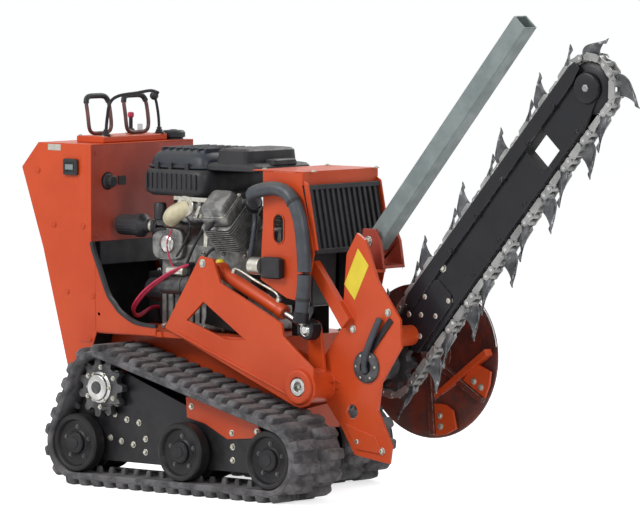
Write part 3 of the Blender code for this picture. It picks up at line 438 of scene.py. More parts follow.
RED_JACKET = finish_of("red cable jacket", (196, 46, 82), (176, 40, 70), 0.42, mottle=20.0,
                       grain=(600.0, 0.05))
YELLOW = finish_of("yellow enamel", (226, 202, 44), (214, 188, 38), 0.42, worn=(170, 140, 40), wear=0.3,
                   coat=0.2, mottle=10.0, grain=(500.0, 0.04))
# Near black, painted shade: set in holes, slots and openings, behind the grille and the gusset's window and inside
# the console, where only shade falls. The hour meter's glass uses it too.
DARK_GAP = finish_of("dark inside", (14, 14, 15), (8, 8, 9), 0.8, mottle=12.0, grain=(200.0, 0.1))

FINISH_OF_SLOT = {
    "orange_paint": ENAMEL, "auger_paint": AUGER_ENAMEL, "black_paint": BLACK_ENAMEL,
    "black_plastic": BLACK_PLASTIC, "track_rubber": TRACK_RUBBER, "wheel_rubber": WHEEL_RUBBER,
    "cast_iron": IRON, "engine_casting": CASTING, "bright_steel": STEEL, "grey_paint": GREY_ENAMEL,
    "chain_steel": CHAIN_STEEL, "hose_rubber": HOSE_RUBBER, "red_cable": RED_JACKET}
for part in frame["record"]["subparts"]:
    solid = frame["nodes"][part["node"]]
    solid.data.materials.clear()
    solid.data.materials.append(FINISH_OF_SLOT[part["material_slot"]])
# The console front takes the darker enamel: painted shade on the face turned from the key lamp.
frame["nodes"]["console_front"].data.materials[0] = DARK_ENAMEL
print("finishes:", len(FINISH_OF_SLOT), "slots")

# %% [markdown]
# Every new piece below is made of closed surfaces, worked out as whole arrays of points. A surface
# here is a pair: an array of points and a list of faces. Four makers cover nearly everything:
# a profile turned about an axis, a section carried along a path, a plate from an outline, and a
# small shape stamped many times. The next cells define them.

# %% Surfaces from arrays


def tidy(points, faces):
    """Merges points that coincide and turns every face outwards; returns the closed surface."""
    mesh = bmesh.new()
    made = [mesh.verts.new(point) for point in points]
    for face in faces:
        corners_of = list(dict.fromkeys(face))
        if len(corners_of) > 2:
            mesh.faces.new([made[i] for i in corners_of])
    bmesh.ops.remove_doubles(mesh, verts=mesh.verts, dist=1e-6)
    bmesh.ops.recalc_face_normals(mesh, faces=mesh.faces)
    mesh.verts.index_update()
    result = (np.array([v.co[:] for v in mesh.verts]), [[v.index for v in f.verts] for f in mesh.faces])
    mesh.free()
    return result


def grid(points, close_rows=False, close_columns=False):
    """Quads over rows and columns of points; a closed direction joins its last to its first."""
    rows, columns = points.shape[:2]
    i, j = np.meshgrid(np.arange(rows - (not close_rows)), np.arange(columns - (not close_columns)),
                       indexing="ij")
    down, right = (i + 1) % rows, (j + 1) % columns
    quads = np.stack([i * columns + j, down * columns + j, down * columns + right, i * columns + right], -1)
    return points.reshape(-1, 3), quads.reshape(-1, 4).tolist()


def turned(profile, centre, axis="Y", sides=56, flute=0.0, flutes=0):
    """A profile of (radius, distance along) turned about an axis at centre.

    The point at angle a is radius * (cos a, sin a) across the axis; flutes add a small ripple,
    radius * (1 + flute * cos(flutes * a)). The profile is closed back to its start.
    """
    profile = np.array(profile, float)
    angle = np.linspace(0, math.tau, sides, endpoint=False)
    radius = profile[:, :1] * (1 + flute * np.cos(flutes * angle))
    across, up = radius * np.cos(angle), radius * np.sin(angle)
    along = np.broadcast_to(profile[:, 1:], across.shape)
    order = {"X": (along, across, up), "Y": (across, along, up), "Z": (across, up, along)}[axis]
    return tidy(*grid(np.stack(order, -1) + np.array(centre, float), True, True))


def carried(section, path, closed=False, up=(0.0, 0.0, 1.0)):
    """A section of (across, up) points carried along a path.

    At each point the section stands square to the path's direction t, with its axes
    across = t x up and up' = across x t, so it never twists about the path.
    """
    path, section = np.array(path, float), np.array(section, float)
    ahead = np.roll(path, -1, 0) - np.roll(path, 1, 0)
    if not closed:
        ahead[0], ahead[-1] = path[1] - path[0], path[-1] - path[-2]
    ahead /= np.linalg.norm(ahead, axis=1)[:, None]
    across = np.cross(ahead, np.array(up, float))
    across /= np.linalg.norm(across, axis=1)[:, None]
    rise = np.cross(across, ahead)
    ring = path[:, None] + section[None, :, :1] * across[:, None] + section[None, :, 1:] * rise[:, None]
    points, faces = grid(ring, closed, True)
    if not closed:
        count = len(section)
        faces += [list(range(count)), list(range(len(points) - count, len(points)))[::-1]]
    return tidy(points, faces)


def round_section(radius, sides=12):
    """A circle as a section."""
    angle = np.linspace(0, math.tau, sides, endpoint=False)
    return radius * np.stack([np.cos(angle), np.sin(angle)], -1)


def plate(outline, low, high, axis="Y", holes=()):
    """A flat plate: the outline less its holes, between two places along the axis."""
    loops = [np.array(outline, float)] + [np.array(hole, float) for hole in holes]
    flat = np.concatenate(loops)
    pick = {"X": (2, 0, 1), "Y": (0, 2, 1), "Z": (0, 1, 2)}[axis]

    def lifted(t):
        """The outline's points at one place along the axis."""
        columns = np.stack([flat[:, 0], flat[:, 1], np.full(len(flat), t)], -1)
        return columns[:, pick]

    points = np.concatenate([lifted(low), lifted(high)])
    count = len(flat)
    cap = tessellate_polygon([[Vector((a, b, 0)) for a, b in loop] for loop in loops])
    faces = [list(three) for three in cap] + [[i + count for i in three] for three in cap]
    start = 0
    for loop in loops:
        i = np.arange(len(loop))
        j = (i + 1) % len(loop)
        faces += np.stack([start + i, start + j, start + j + count, start + i + count], -1).tolist()
        start += len(loop)
    return tidy(points, faces)


def block(low, high):
    """A box between two corners."""
    return plate([(low[0], low[2]), (high[0], low[2]), (high[0], high[2]), (low[0], high[2])], low[1],
                 high[1])


def ring_of(x, z, radius, sides=32, turn=0.0):
    """A circle as an outline."""
    angle = np.linspace(0, math.tau, sides, endpoint=False) + turn
    return np.stack([x + radius * np.cos(angle), z + radius * np.sin(angle)], -1)


def moved(surface, turn=None, shift=(0, 0, 0)):
    """A surface turned by a 3x3 matrix and shifted."""
    points, faces = surface
    if turn is not None:
        points = points @ np.array(turn, float).T
    return points + np.array(shift, float), faces


def stamped(surface, frames, places):
    """Copies of one surface: each point p becomes place + frame @ p."""
    points, faces = surface
    turned_points = np.einsum("nij,kj->nki", np.array(frames, float), points)
    points_all = (turned_points + np.array(places, float)[:, None]).reshape(-1, 3)
    step = len(points)
    return points_all, [[k * step + i for i in face] for k in range(len(places)) for face in faces]


def facing(direction):
    """A 3x3 matrix that turns +Z to a direction."""
    return np.array(Vector(direction).to_track_quat("Z", "Y").to_matrix())


def smooth_line(points, step=0.012):
    """Points every step along a Catmull-Rom curve through a route's own points."""
    p = np.array([points[0], *points, points[-1]], float)
    t = np.linspace(0, 1, 24, endpoint=False)[None, :, None]
    a, b, c, d = (p[k:len(p) - 3 + k, None] for k in range(4))
    fine = 0.5 * (2 * b + (c - a) * t + (2 * a - 5 * b + 4 * c - d) * t**2 + (3 * b - a - 3 * c + d) * t**3)
    fine = np.concatenate([fine.reshape(-1, 3), p[-1:]])
    length = np.append(0, np.cumsum(np.linalg.norm(np.diff(fine, axis=0), axis=1)))
    stations = np.linspace(0, length[-1], int(length[-1] / step) + 1)
    return np.stack([np.interp(stations, length, fine[:, k]) for k in range(3)], -1)


# %% Turning surfaces into pieces


def piece(name, parts, body, nodes=(), bevel=0.0, smooth=35.0, segments=2):
    """One object from (surface, finish) pairs: it rides on a body and stands for the given solids."""
    points, faces, index, finishes, start = [], [], [], [], 0
    for (own_points, own_faces), finish in parts:
        if finish not in finishes:
            finishes.append(finish)
        points.append(own_points)
        faces += [[start + i for i in face] for face in own_faces]
        index += [finishes.index(finish)] * len(own_faces)
        start += len(own_points)
    mesh = bpy.data.meshes.new(name)
    mesh.from_pydata(np.concatenate(points).tolist(), [], faces)
    for finish in finishes:
        mesh.materials.append(finish)
    mesh.polygons.foreach_set("material_index", index)
    mesh.shade_smooth()
    mesh.set_sharp_from_angle(angle=math.radians(smooth))
    made = bpy.data.objects.new(name, mesh)
    scene.collection.objects.link(made)
    if bevel:
        step = made.modifiers.new("Bevel", "BEVEL")
        step.width = bevel
        step.segments = segments
        step.limit_method = "ANGLE"
        step.angle_limit = math.radians(smooth)
        step.use_clamp_overlap = False
        step.harden_normals = True
    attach(made, body)
    if nodes:
        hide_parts(*nodes)
    return made


def solid_of(node):
    """A merged copy of a solid's own mesh, with flat faces joined into whole ones."""
    mesh = bmesh.new()
    mesh.from_mesh(frame["nodes"][node].data)
    bmesh.ops.remove_doubles(mesh, verts=mesh.verts, dist=2e-5)
    bmesh.ops.dissolve_limit(mesh, angle_limit=math.radians(0.6), verts=mesh.verts, edges=mesh.edges)
    mesh.verts.index_update()
    result = (np.array([v.co[:] for v in mesh.verts]), [[v.index for v in f.verts] for f in mesh.faces])
    mesh.free()
    return result


SLOT_OF = {part["node"]: part["material_slot"] for part in frame["record"]["subparts"]}


def eased(node, width, finish=None, extra=(), also=(), smooth=30.0):
    """A solid with eased edges in place of its sharp ones, and extra surfaces on it."""
    parts = [(solid_of(node), finish or FINISH_OF_SLOT[SLOT_OF[node]])]
    return piece(node + "_finished", parts + list(extra), BODY_OF[node], (node, *also),
                 bevel=width, smooth=smooth)


def bolt(radius, height, sides=6):
    """A bolt standing on z = 0: a washer, then a six-sided head with an eased rim."""
    washer = turned([(0, 0), (radius * 1.45, 0), (radius * 1.45, height * 0.22), (0, height * 0.22)],
                    (0, 0, 0), "Z", 20)
    head = turned([(0, height * 0.2), (radius, height * 0.2), (radius, height * 0.85),
                   (radius * 0.82, height), (0, height)], (0, 0, 0), "Z", sides)
    points = np.concatenate([washer[0], head[0]])
    return points, washer[1] + [[i + len(washer[0]) for i in face] for face in head[1]]


def bolts(places, direction, radius=0.008, height=0.007):
    """Bolts standing at places on a face that looks along the direction."""
    frames = np.broadcast_to(facing(direction), (len(places), 3, 3))
    return stamped(bolt(radius, height), frames, places)


print("makers ready")

# %% [markdown]
# A track is a rubber band run tightly round three circles. Its line is worked out once: on each
# circle the outward normal turns steadily, and between two circles it keeps still. The band is a
# section carried along that line, and its lugs are one small block stamped on it.

# %% The line of a belt


def belt_line(circles, steps=28):
    """The tight line round circles (x, z, radius), anticlockwise: stations, points, normal angles."""
    ring = np.array(circles, float)
    following = np.roll(ring, -1, 0)
    run = following[:, :2] - ring[:, :2]
    length = np.linalg.norm(run, axis=1)
    run /= length[:, None]
    lean = (ring[:, 2] - following[:, 2]) / length
    normal = run * lean[:, None] + np.stack([run[:, 1], -run[:, 0]], -1) * np.sqrt(1 - lean**2)[:, None]
    end = np.arctan2(normal[:, 1], normal[:, 0])
    start = np.roll(end, 1)
    turn = (end - start) % math.tau
    angle = start[:, None] + turn[:, None] * np.linspace(0, 1, steps)
    point = ring[:, None, :2] + ring[:, 2, None, None] * np.stack([np.cos(angle), np.sin(angle)], -1)
    point, angle = point.reshape(-1, 2), np.unwrap(angle.reshape(-1))
    point = np.concatenate([point, point[:1]])
    angle = np.append(angle, angle[0] + math.tau)
    station = np.append(0, np.cumsum(np.linalg.norm(np.diff(point, axis=0), axis=1)))
    return station, point, angle


def on_line(line, distance):
    """Points and outward-normal angles at distances along a belt's line."""
    station, point, angle = line
    distance = np.mod(distance, station[-1])
    place = np.stack([np.interp(distance, station, point[:, k]) for k in range(2)], -1)
    return place, np.interp(distance, station, angle)


def frames_on(line, distance, offset, y=0.0):
    """Frames for stamping: local x runs along the belt, local y across it and local z outwards."""
    place, angle = on_line(line, distance)
    out = np.stack([np.cos(angle), np.zeros_like(angle), np.sin(angle)], -1)
    forward = np.stack([-np.sin(angle), np.zeros_like(angle), np.cos(angle)], -1)
    side = np.broadcast_to(np.array([0.0, 1.0, 0.0]), out.shape)
    where = np.stack([place[:, 0], np.broadcast_to(y, angle.shape), place[:, 1]], -1) + out * offset
    return np.stack([forward, side, out], -1), where


def band(line, section, spacing=0.02):
    """A section of (offset, y) points carried round a belt's line."""
    stations = line[0][:-1]
    gaps = np.diff(line[0])
    long = np.nonzero(gaps > spacing)[0]
    extra = [np.linspace(line[0][k], line[0][k + 1], int(gaps[k] / spacing) + 1)[1:-1] for k in long]
    stations = np.unique(np.round(np.concatenate([stations, *extra]), 6))
    keep = np.append(np.diff(stations) > 1e-4, True)
    place, angle = on_line(line, stations[keep])
    section = np.array(section, float)
    x = place[:, 0, None] + section[None, :, 0] * np.cos(angle)[:, None]
    z = place[:, 1, None] + section[None, :, 0] * np.sin(angle)[:, None]
    y = np.broadcast_to(section[None, :, 1], x.shape)
    return tidy(*grid(np.stack([x, y, z], -1), True, True))


def pillow(half_x, half_y, levels, power=0.32, sides=20):
    """A block with rounded corners: superellipse rings of (height, scale), closed top and bottom.

    A ring's point at angle a is scale * (half_x * |cos a|^power, half_y * |sin a|^power) with signs.
    """
    angle = np.linspace(0, math.tau, sides, endpoint=False) + math.pi / sides
    c, s = np.cos(angle), np.sin(angle)
    x = half_x * np.sign(c) * np.abs(c)**power
    y = half_y * np.sign(s) * np.abs(s)**power
    rings = np.stack([np.stack([x * scale, y * scale, np.full(sides, height)], -1)
                      for height, scale in levels])
    points, faces = grid(rings, False, True)
    faces += [list(range(sides)), list(range(len(points) - sides, len(points)))[::-1]]
    return tidy(points, faces)


# %% Rubber tracks
BAND_THICK = 0.022
LUG_HIGH = 0.0195
LUG_PITCH = 0.056
BELT_DEPTH = 0.042                          # band and lugs: from the ground to a wheel's rim


def track_line(side):
    """The line of one track's belt, from its wheels' and sprocket's axes and the belt's depth."""
    names = (f"rear_idler_{side}_spin", f"front_idler_{side}_spin", f"{side}_sprocket_spin")
    rear, front, top = (pivot(name) for name in names)
    wheel = rear[2] - GROUND - BELT_DEPTH
    return belt_line([(rear[0], rear[2], wheel), (front[0], front[2], wheel),
                      (top[0], top[2], wheel + 0.002)])


def rubber_track(side):
    """The belt: a rounded band, two staggered columns of lugs outside and guide lugs inside."""
    low, high = corners(f"track_belt_{side}")
    half = (high[1] - low[1]) / 2
    middle = (high[1] + low[1]) / 2
    line = track_line(side)
    total = line[0][-1]
    count = round(total / LUG_PITCH)
    soft = 0.005
    section = [(0.0, -half + soft), (soft, -half), (BAND_THICK - soft, -half), (BAND_THICK, -half + soft),
               (BAND_THICK, half - soft), (BAND_THICK - soft, half), (soft, half), (0.0, half - soft)]
    parts = [(band(line, [(t, middle + y) for t, y in section]), TRACK_RUBBER)]
    lug = pillow(0.0185, half / 2 - 0.003, [(-0.003, 1.05), (0.010, 1.0), (LUG_HIGH - 0.003, 0.93),
                                            (LUG_HIGH, 0.86)])
    for shift, across in ((0.25, -half / 2), (0.75, half / 2)):
        frames, places = frames_on(line, (np.arange(count) + shift) * total / count, BAND_THICK,
                                   middle + across)
        parts.append((stamped(lug, frames, places), TRACK_RUBBER))
    outward = 1.0 if middle > 0 else -1.0
    guide = pillow(0.012, 0.009, [(-0.002, 1.0), (0.010, 0.9), (0.020, 0.62)], 0.5, 12)
    frames, places = frames_on(line, (np.arange(count) + 0.5) * total / count, 0.0, middle + outward * 0.045)
    frames = frames * np.array([1.0, 1.0, -1.0])
    parts.append((stamped((guide[0], [face[::-1] for face in guide[1]]), frames, places), TRACK_RUBBER))
    return piece(f"rubber_track_{side}", parts, "root", (f"track_belt_{side}",), smooth=40)


for side in ("near", "far"):
    made = rubber_track(side)
    print(made.name, len(made.data.polygons), "faces")

# %% [markdown]
# Idlers and rollers are turned shapes: a rubber-faced drum inside the belt and a dished outer disc
# with a hub cap and bolts. A deep groove between them lets the guide lugs pass.

# %% Wheels
COGS = 11


def wheel(side, label):
    """One wheel: its drum and dished disc, hub cap and bolts, turned about its axle."""
    node = f"{label}_{side}"
    low, high = corners(node)
    outward = 1.0 if low[1] + high[1] > 0 else -1.0
    face = high[1] if outward > 0 else -low[1]
    inner = low[1] if outward > 0 else -high[1]
    radius = (high[2] - low[2]) / 2 - 0.0002
    centre = pivot(f"{node}_spin") * np.array([1, 0, 1])
    groove_in, groove_out, sleeve, bore = face - 0.082, face - 0.052, 0.040, 0.0184
    drum = [(bore, inner), (0.030, inner), (0.034, inner + 0.012), (radius - 0.016, inner + 0.012),
            (radius - 0.003, inner + 0.002), (radius, inner + 0.005), (radius, groove_in - 0.003),
            (radius - 0.003, groove_in), (sleeve, groove_in + 0.002), (sleeve, groove_out),
            (radius - 0.004, groove_out + 0.002), (radius, groove_out + 0.006), (radius, face - 0.008),
            (radius - 0.004, face - 0.002), (radius - 0.012, face), (radius - 0.018, face - 0.003),
            (radius - 0.024, face - 0.014), (radius - 0.036, face - 0.018), (0.044, face - 0.018),
            (0.038, face - 0.014), (0.036, face - 0.004), (0.032, face), (bore, face)]
    cap = [(0, face - 0.006), (bore - 0.0006, face - 0.006), (bore - 0.0006, face - 0.001),
           (0.012, face - 0.0005), (0, face - 0.0005)]
    mirror = [(r, outward * t) for r, t in drum]
    angle = np.arange(5) * math.tau / 5 + 0.3
    ring = np.stack([centre[0] + 0.053 * np.cos(angle), np.full(5, outward * (face - 0.018)),
                     centre[2] + 0.053 * np.sin(angle)], -1)
    parts = [(turned(mirror, centre), WHEEL_RUBBER),
             (turned([(r, outward * t) for r, t in cap], centre, sides=24), IRON),
             (bolts(ring, (0, outward, 0), 0.0055, 0.006), IRON)]
    return piece(f"wheel_{node}", parts, node, (node,), smooth=32)


def sprocket(side):
    """The drive sprocket: cogs by radius = mean + swing * clipped cosine, with a bolted hub."""
    node = f"drive_sprocket_{side}"
    low, high = corners(node)
    outward = 1.0 if low[1] + high[1] > 0 else -1.0
    centre = pivot(f"{side}_sprocket_spin") * np.array([1, 0, 1])
    face = high[1] if outward > 0 else -low[1]
    disc_out, disc_in = face - 0.020, face - 0.046
    angle = np.linspace(0, math.tau, COGS * 16, endpoint=False)
    radius = 0.089 + 0.011 * np.clip(1.9 * np.cos(COGS * angle), -1, 1)
    outline = np.stack([centre[0] + radius * np.cos(angle), centre[2] + radius * np.sin(angle)], -1)
    disc = plate(outline, *sorted((outward * disc_in, outward * disc_out)),
                 holes=[ring_of(centre[0], centre[2], 0.0206)])
    hub = turned([(0.0204, outward * (disc_out - 0.002)), (0.052, outward * (disc_out - 0.002)),
                  (0.052, outward * (disc_out + 0.006)), (0.044, outward * (disc_out + 0.010)),
                  (0.042, outward * (face - 0.002)), (0.038, outward * face), (0.0204, outward * face)],
                 centre)
    turn = np.arange(6) * math.tau / 6
    ring = np.stack([centre[0] + 0.047 * np.cos(turn), np.full(6, outward * (disc_out + 0.006)),
                     centre[2] + 0.047 * np.sin(turn)], -1)
    outer = np.stack([centre[0] + 0.066 * np.cos(turn + 0.5), np.full(6, outward * disc_out),
                      centre[2] + 0.066 * np.sin(turn + 0.5)], -1)
    parts = [(disc, IRON), (hub, STEEL), (bolts(ring, (0, outward, 0), 0.0055, 0.007), ZINC),
             (bolts(outer, (0, outward, 0), 0.006, 0.006), ZINC)]
    return piece(f"cogs_{node}", parts, node, (node,), bevel=0.0012)


for side in ("near", "far"):
    for label in ("rear_idler", "mid_roller", "front_idler"):
        wheel(side, label)
    sprocket(side)
    eased(f"drive_motor_{side}", 0.002)
print("wheels and sprockets done")

# %% [markdown]
# The side frame between the wheels is a pair of black plates. Its bolts stand in pairs where the
# axle blocks and the tensioner are clamped.

# %% Track frames
FRAME_FACE = 0.330                          # outer plate of a side frame, from the machine's middle


def frame_bolts(side, outward):
    """Bolts on a side frame's outer plate: pairs beside each axle, and a row under the sprocket."""
    axles = [pivot(f"{label}_{side}_spin") for label in ("rear_idler", "mid_roller", "front_idler")]
    places = []
    for axle in axles[1:]:
        for dx in (-0.205, -0.100):
            places += [(axle[0] + dx, axle[2] + 0.026), (axle[0] + dx, axle[2] - 0.018)]
    places += [(axles[0][0] + dx, axles[0][2] + dz) for dx, dz in ((0.110, 0.020), (0.160, 0.012),
                                                                   (0.215, 0.004), (0.130, 0.100),
                                                                   (0.185, 0.085), (0.240, 0.078))]
    return np.array([(x, outward * FRAME_FACE, z) for x, z in places])


for side in ("near", "far"):
    node = f"track_frame_{side}"
    low, high = corners(node)
    outward = 1.0 if low[1] + high[1] > 0 else -1.0
    eased(node, 0.0015, extra=[(bolts(frame_bolts(side, outward), (0, outward, 0), 0.0075, 0.008), ZINC)])
print("track frames done")

# %% [markdown]
# The digging chain is a wide roller chain. Inner and outer side links alternate, and every second
# outer link carries a hooked cutter that flares to one side, then to the other. The links are
# stamped on the chain's line, like the lugs on a belt.

# %% Digging chain
CHAIN_R = 0.0853
LINK_RISE = 0.013                           # middle of the links, out from the chain's line
CUTTER_PITCH = 0.118
LINKS_PER_CUTTER = 4


def link(pitch, height, thick, y):
    """A side link with round ends, straight sides and a narrower waist.

    Its outline at angle a is pitch / 2 * tanh(6 cos a) + height / 2 * cos a along the chain, and
    height / 2 * sin a across it, times a waist that grows to 1 as the cube of the way to the ends.
    """
    angle = np.linspace(0, math.tau, 28, endpoint=False)
    x = pitch / 2 * np.tanh(6.0 * np.cos(angle)) + height / 2 * np.cos(angle)
    waist = 0.84 + 0.16 * np.clip(np.abs(x) / (pitch / 2), 0, 1)**3
    z = height / 2 * np.sin(angle) * waist
    return plate(np.stack([x, z], -1), y, y + thick)


def cutter(flare):
    """One hooked cutter, in local x along the chain, y across and z outwards.

    At height u from root to tip its front edge leans forward, -0.022 + 0.004 sin(pi u) - 0.036 u^2,
    and its back edge closes on that as (1 - u^4)^0.6; it bends sideways by flare * u^1.5 and thins.
    """
    u = np.linspace(0, 1, 12)
    front = -0.022 + 0.004 * np.sin(np.pi * u) - 0.036 * u**2
    wide = 0.062 * (1 - u**4)**0.6 + 0.008
    rise = 0.014 + 0.074 * u
    bend = flare * (0.012 + 0.016 * u**1.5)
    thick = 0.014 * (1 - 0.5 * u)
    around = np.array([0.0, 0.06, 0.5, 0.94, 1.0, 0.94, 0.5, 0.06])
    side = np.array([0.0, 0.8, 1.0, 0.8, 0.0, -0.8, -1.0, -0.8])
    x = front[:, None] + wide[:, None] * around
    hollow = flare * 0.010 * np.sin(np.pi * around) * np.sin(np.pi * u)[:, None]
    y = bend[:, None] + thick[:, None] / 2 * side + hollow
    z = rise[:, None] - 0.016 * np.broadcast_to(around, x.shape) * (0.3 + u)[:, None]
    points, faces = grid(np.stack([x, y, z], -1), False, True)
    edge = len(around)
    faces += [list(range(edge)), list(range(len(points) - edge, len(points)))[::-1]]
    return tidy(points, faces)


def cutter_foot(flare):
    """The forged block that ties a cutter to its two links."""
    outline = [(-0.028, 0.004), (0.028, 0.004), (0.030, 0.014), (0.020, 0.026), (-0.018, 0.028),
               (-0.028, 0.020)]
    low, high = sorted((flare * 0.0225, flare * 0.0285))
    return plate(outline, low, high)


chain_line = belt_line([(HEAD[0], HEAD[2], CHAIN_R), (NOSE[0], NOSE[2], CHAIN_R)], 40)
chain_total = chain_line[0][-1]
teeth = round(chain_total / CUTTER_PITCH)
link_count = LINKS_PER_CUTTER * teeth
pitch = chain_total / link_count
stations = np.arange(link_count) * pitch
outer_frames, outer_places = frames_on(chain_line, stations[0::2], LINK_RISE)
inner_frames, inner_places = frames_on(chain_line, stations[1::2], LINK_RISE)
pin_frames, pin_places = frames_on(chain_line, stations + pitch / 2, LINK_RISE)
parts = []
for y in (-0.0235, 0.0185):
    parts.append((stamped(link(pitch, 0.025, 0.005, y), outer_frames, outer_places), CHAIN_STEEL))
for y in (-0.0180, 0.0130):
    parts.append((stamped(link(pitch, 0.023, 0.005, y), inner_frames, inner_places), CHAIN_STEEL))
pin = turned([(0, -0.0255), (0.0055, -0.0255), (0.0062, -0.0245), (0.0062, 0.0245), (0.0055, 0.0255),
              (0, 0.0255)], (0, 0, 0), sides=14)
roller = turned([(0.0065, -0.0125), (0.0105, -0.0125), (0.0105, 0.0125), (0.0065, 0.0125)], (0, 0, 0),
                sides=16)
parts += [(stamped(pin, pin_frames, pin_places), STEEL),
          (stamped(roller, pin_frames, pin_places), CHAIN_STEEL)]
for start, flare in ((0, -1.0), (1, 1.0)):
    middles = np.arange(start, teeth, 2) * chain_total / teeth
    frames, places = frames_on(chain_line, middles, 0.0)
    parts.append((stamped(cutter(flare), frames, places), TOOTH_STEEL))
    parts.append((stamped(cutter_foot(flare), frames, places), CHAIN_STEEL))
    parts.append((stamped(cutter_foot(-flare), frames, places), CHAIN_STEEL))
chain = piece("digging_chain_links", parts, "boom", ("digging_chain",), smooth=38)
print("chain:", link_count, "links,", teeth, "cutters,", len(chain.data.polygons), "faces")

# %% [markdown]
# The boom bar is a flat black beam. A diamond hole lets dirt out, bolts clamp the strips that the
# chain slides on, a guard runs beside the chain's upper side, and a round cap covers the nose
# roller's axle.

# %% Boom bar
GUARD_FACE = -0.0325                        # outer face of the guard, clear of the chain's near links


def on_boom(s, t, y):
    """A point s along the boom from the headshaft and t above its middle line."""
    spot = HEAD * np.array([1, 0, 1]) + ALONG * s + ABOVE * t
    return np.array([spot[0], y, spot[2]])


def boom_outline(*points):
    """An outline in the X-Z plane from (along, above) points of the boom."""
    return [on_boom(s, t, 0)[[0, 2]] for s, t in points]


low, high = corners("boom_bar")
face = low[1]
extra = []
nose = NOSE * np.array([1, 0, 1])
extra.append((turned([(0.004, face - 0.012), (0.042, face - 0.012), (0.048, face - 0.010), (0.052, face),
                      (0.030, face), (0.004, face)], nose), BLACK_ENAMEL))
extra.append((turned([(0, face - 0.016), (0.011, face - 0.016), (0.013, face - 0.014), (0.013, face - 0.010),
                      (0, face - 0.010)], nose, sides=6), CHAIN_STEEL))
foot = [on_boom(s, t, face) for s, t in ((0.135, 0.020), (0.160, -0.030), (0.215, 0.012), (0.255, -0.034),
                                         (0.270, 0.040), (0.330, -0.040), (0.390, 0.050), (0.180, 0.050))]
extra.append((bolts(np.array(foot), (0, -1, 0), 0.010, 0.009), ZINC))
edge_rows = [on_boom(s, t, face) for s in np.arange(0.46, 1.10, 0.16) for t in (-0.060, 0.060)]
extra.append((bolts(np.array(edge_rows), (0, -1, 0), 0.006, 0.005), BLACK_ENAMEL))
for t_low, t_high in ((-0.076, -0.064), (0.064, 0.076)):
    outline = boom_outline((0.150, t_low), (1.130, t_low), (1.130, t_high), (0.150, t_high))
    extra.append((plate(outline, face - 0.0045, face + 0.001), BLACK_ENAMEL))
guard = boom_outline((0.200, 0.050), (1.205, 0.050), (1.262, 0.062), (1.262, 0.090), (1.232, 0.097),
                     (0.230, 0.097), (0.200, 0.088))
extra.append((plate(guard, GUARD_FACE, GUARD_FACE + 0.0033), BLACK_ENAMEL))
spacer = boom_outline((0.210, 0.051), (1.180, 0.051), (1.180, 0.061), (0.210, 0.061))
extra.append((plate(spacer, GUARD_FACE + 0.0031, face + 0.001), BLACK_ENAMEL))
guard_bolts = [on_boom(s, 0.056, GUARD_FACE) for s in np.arange(0.46, 1.20, 0.16)]
extra.append((bolts(np.array(guard_bolts), (0, -1, 0), 0.006, 0.005), BLACK_ENAMEL))
foot_plate = boom_outline((0.110, -0.058), (0.330, -0.058), (0.350, -0.036), (0.350, 0.036), (0.330, 0.058),
                          (0.110, 0.058))
extra.append((plate(foot_plate, face - 0.006, face + 0.001), BLACK_ENAMEL))
# A near-black liner inside the boom's window: painted shade on the hole's walls, which would otherwise catch the
# light.
window = [boom_outline((0.908 + d, -0.050 + d), (1.008 - d, -0.050 + d), (1.008 - d, 0.050 - d),
                       (0.908 + d, 0.050 - d)) for d in (-0.0004, 0.0022)]
extra.append((plate(window[0], low[1] + 0.0004, high[1] - 0.0004, holes=[window[1]]), DARK_GAP))
eased("boom_bar", 0.002, BLACK_ENAMEL, extra)
print("boom bar done")

# %% [markdown]
# The engine is a V-twin with its cooling fan and air cleaner on top. Its covers are moulded, with
# round corners, so each is a stack of superellipse rings. The cylinders show their cooling fins,
# thin plates stacked along each bore. Small pieces sit round them: carburettor, starter, filter,
# pipes and wires.

# %% Engine covers
CREAM = finish_of("cream plastic", (214, 206, 176), (190, 180, 146), 0.45, dust=(0.2, 0.0), mottle=22.0,
                  grain=(300.0, 0.08))
DARK_CASTING = finish_of("dark casting", (84, 84, 84), (58, 58, 60), 0.5, 0.6, worn=(150, 150, 146), wear=0.6,
                         dust=(0.2, 0.0), mottle=34.0, sharp=0.14, grain=(220.0, 0.25))
LID_PLASTIC = finish_of("lid plastic", (44, 49, 57), (35, 39, 46), 0.44, worn=(96, 98, 100), wear=0.3,
                        dust=(0.14, 0.0), mottle=14.0, grain=(700.0, 0.12), shine=0.35)


def cover(x_span, y_span, levels, power=0.28, sides=40):
    """A moulded cover: superellipse rings of (height, inset) over a rectangle, inset in metres."""
    x_middle, y_middle = sum(x_span) / 2, sum(y_span) / 2
    half_x, half_y = (x_span[1] - x_span[0]) / 2, (y_span[1] - y_span[0]) / 2
    angle = np.linspace(0, math.tau, sides, endpoint=False) + math.pi / sides
    c, s = np.cos(angle), np.sin(angle)
    unit_x, unit_y = np.sign(c) * np.abs(c)**power, np.sign(s) * np.abs(s)**power
    rings = [np.stack([REAR[0] + x_middle + unit_x * (half_x - inset), y_middle + unit_y * (half_y - inset),
                       np.full(sides, height)], -1) for height, inset in levels]
    points, faces = grid(np.array(rings), False, True)
    faces += [list(range(sides)), list(range(len(points) - sides, len(points)))[::-1]]
    return tidy(points, faces)


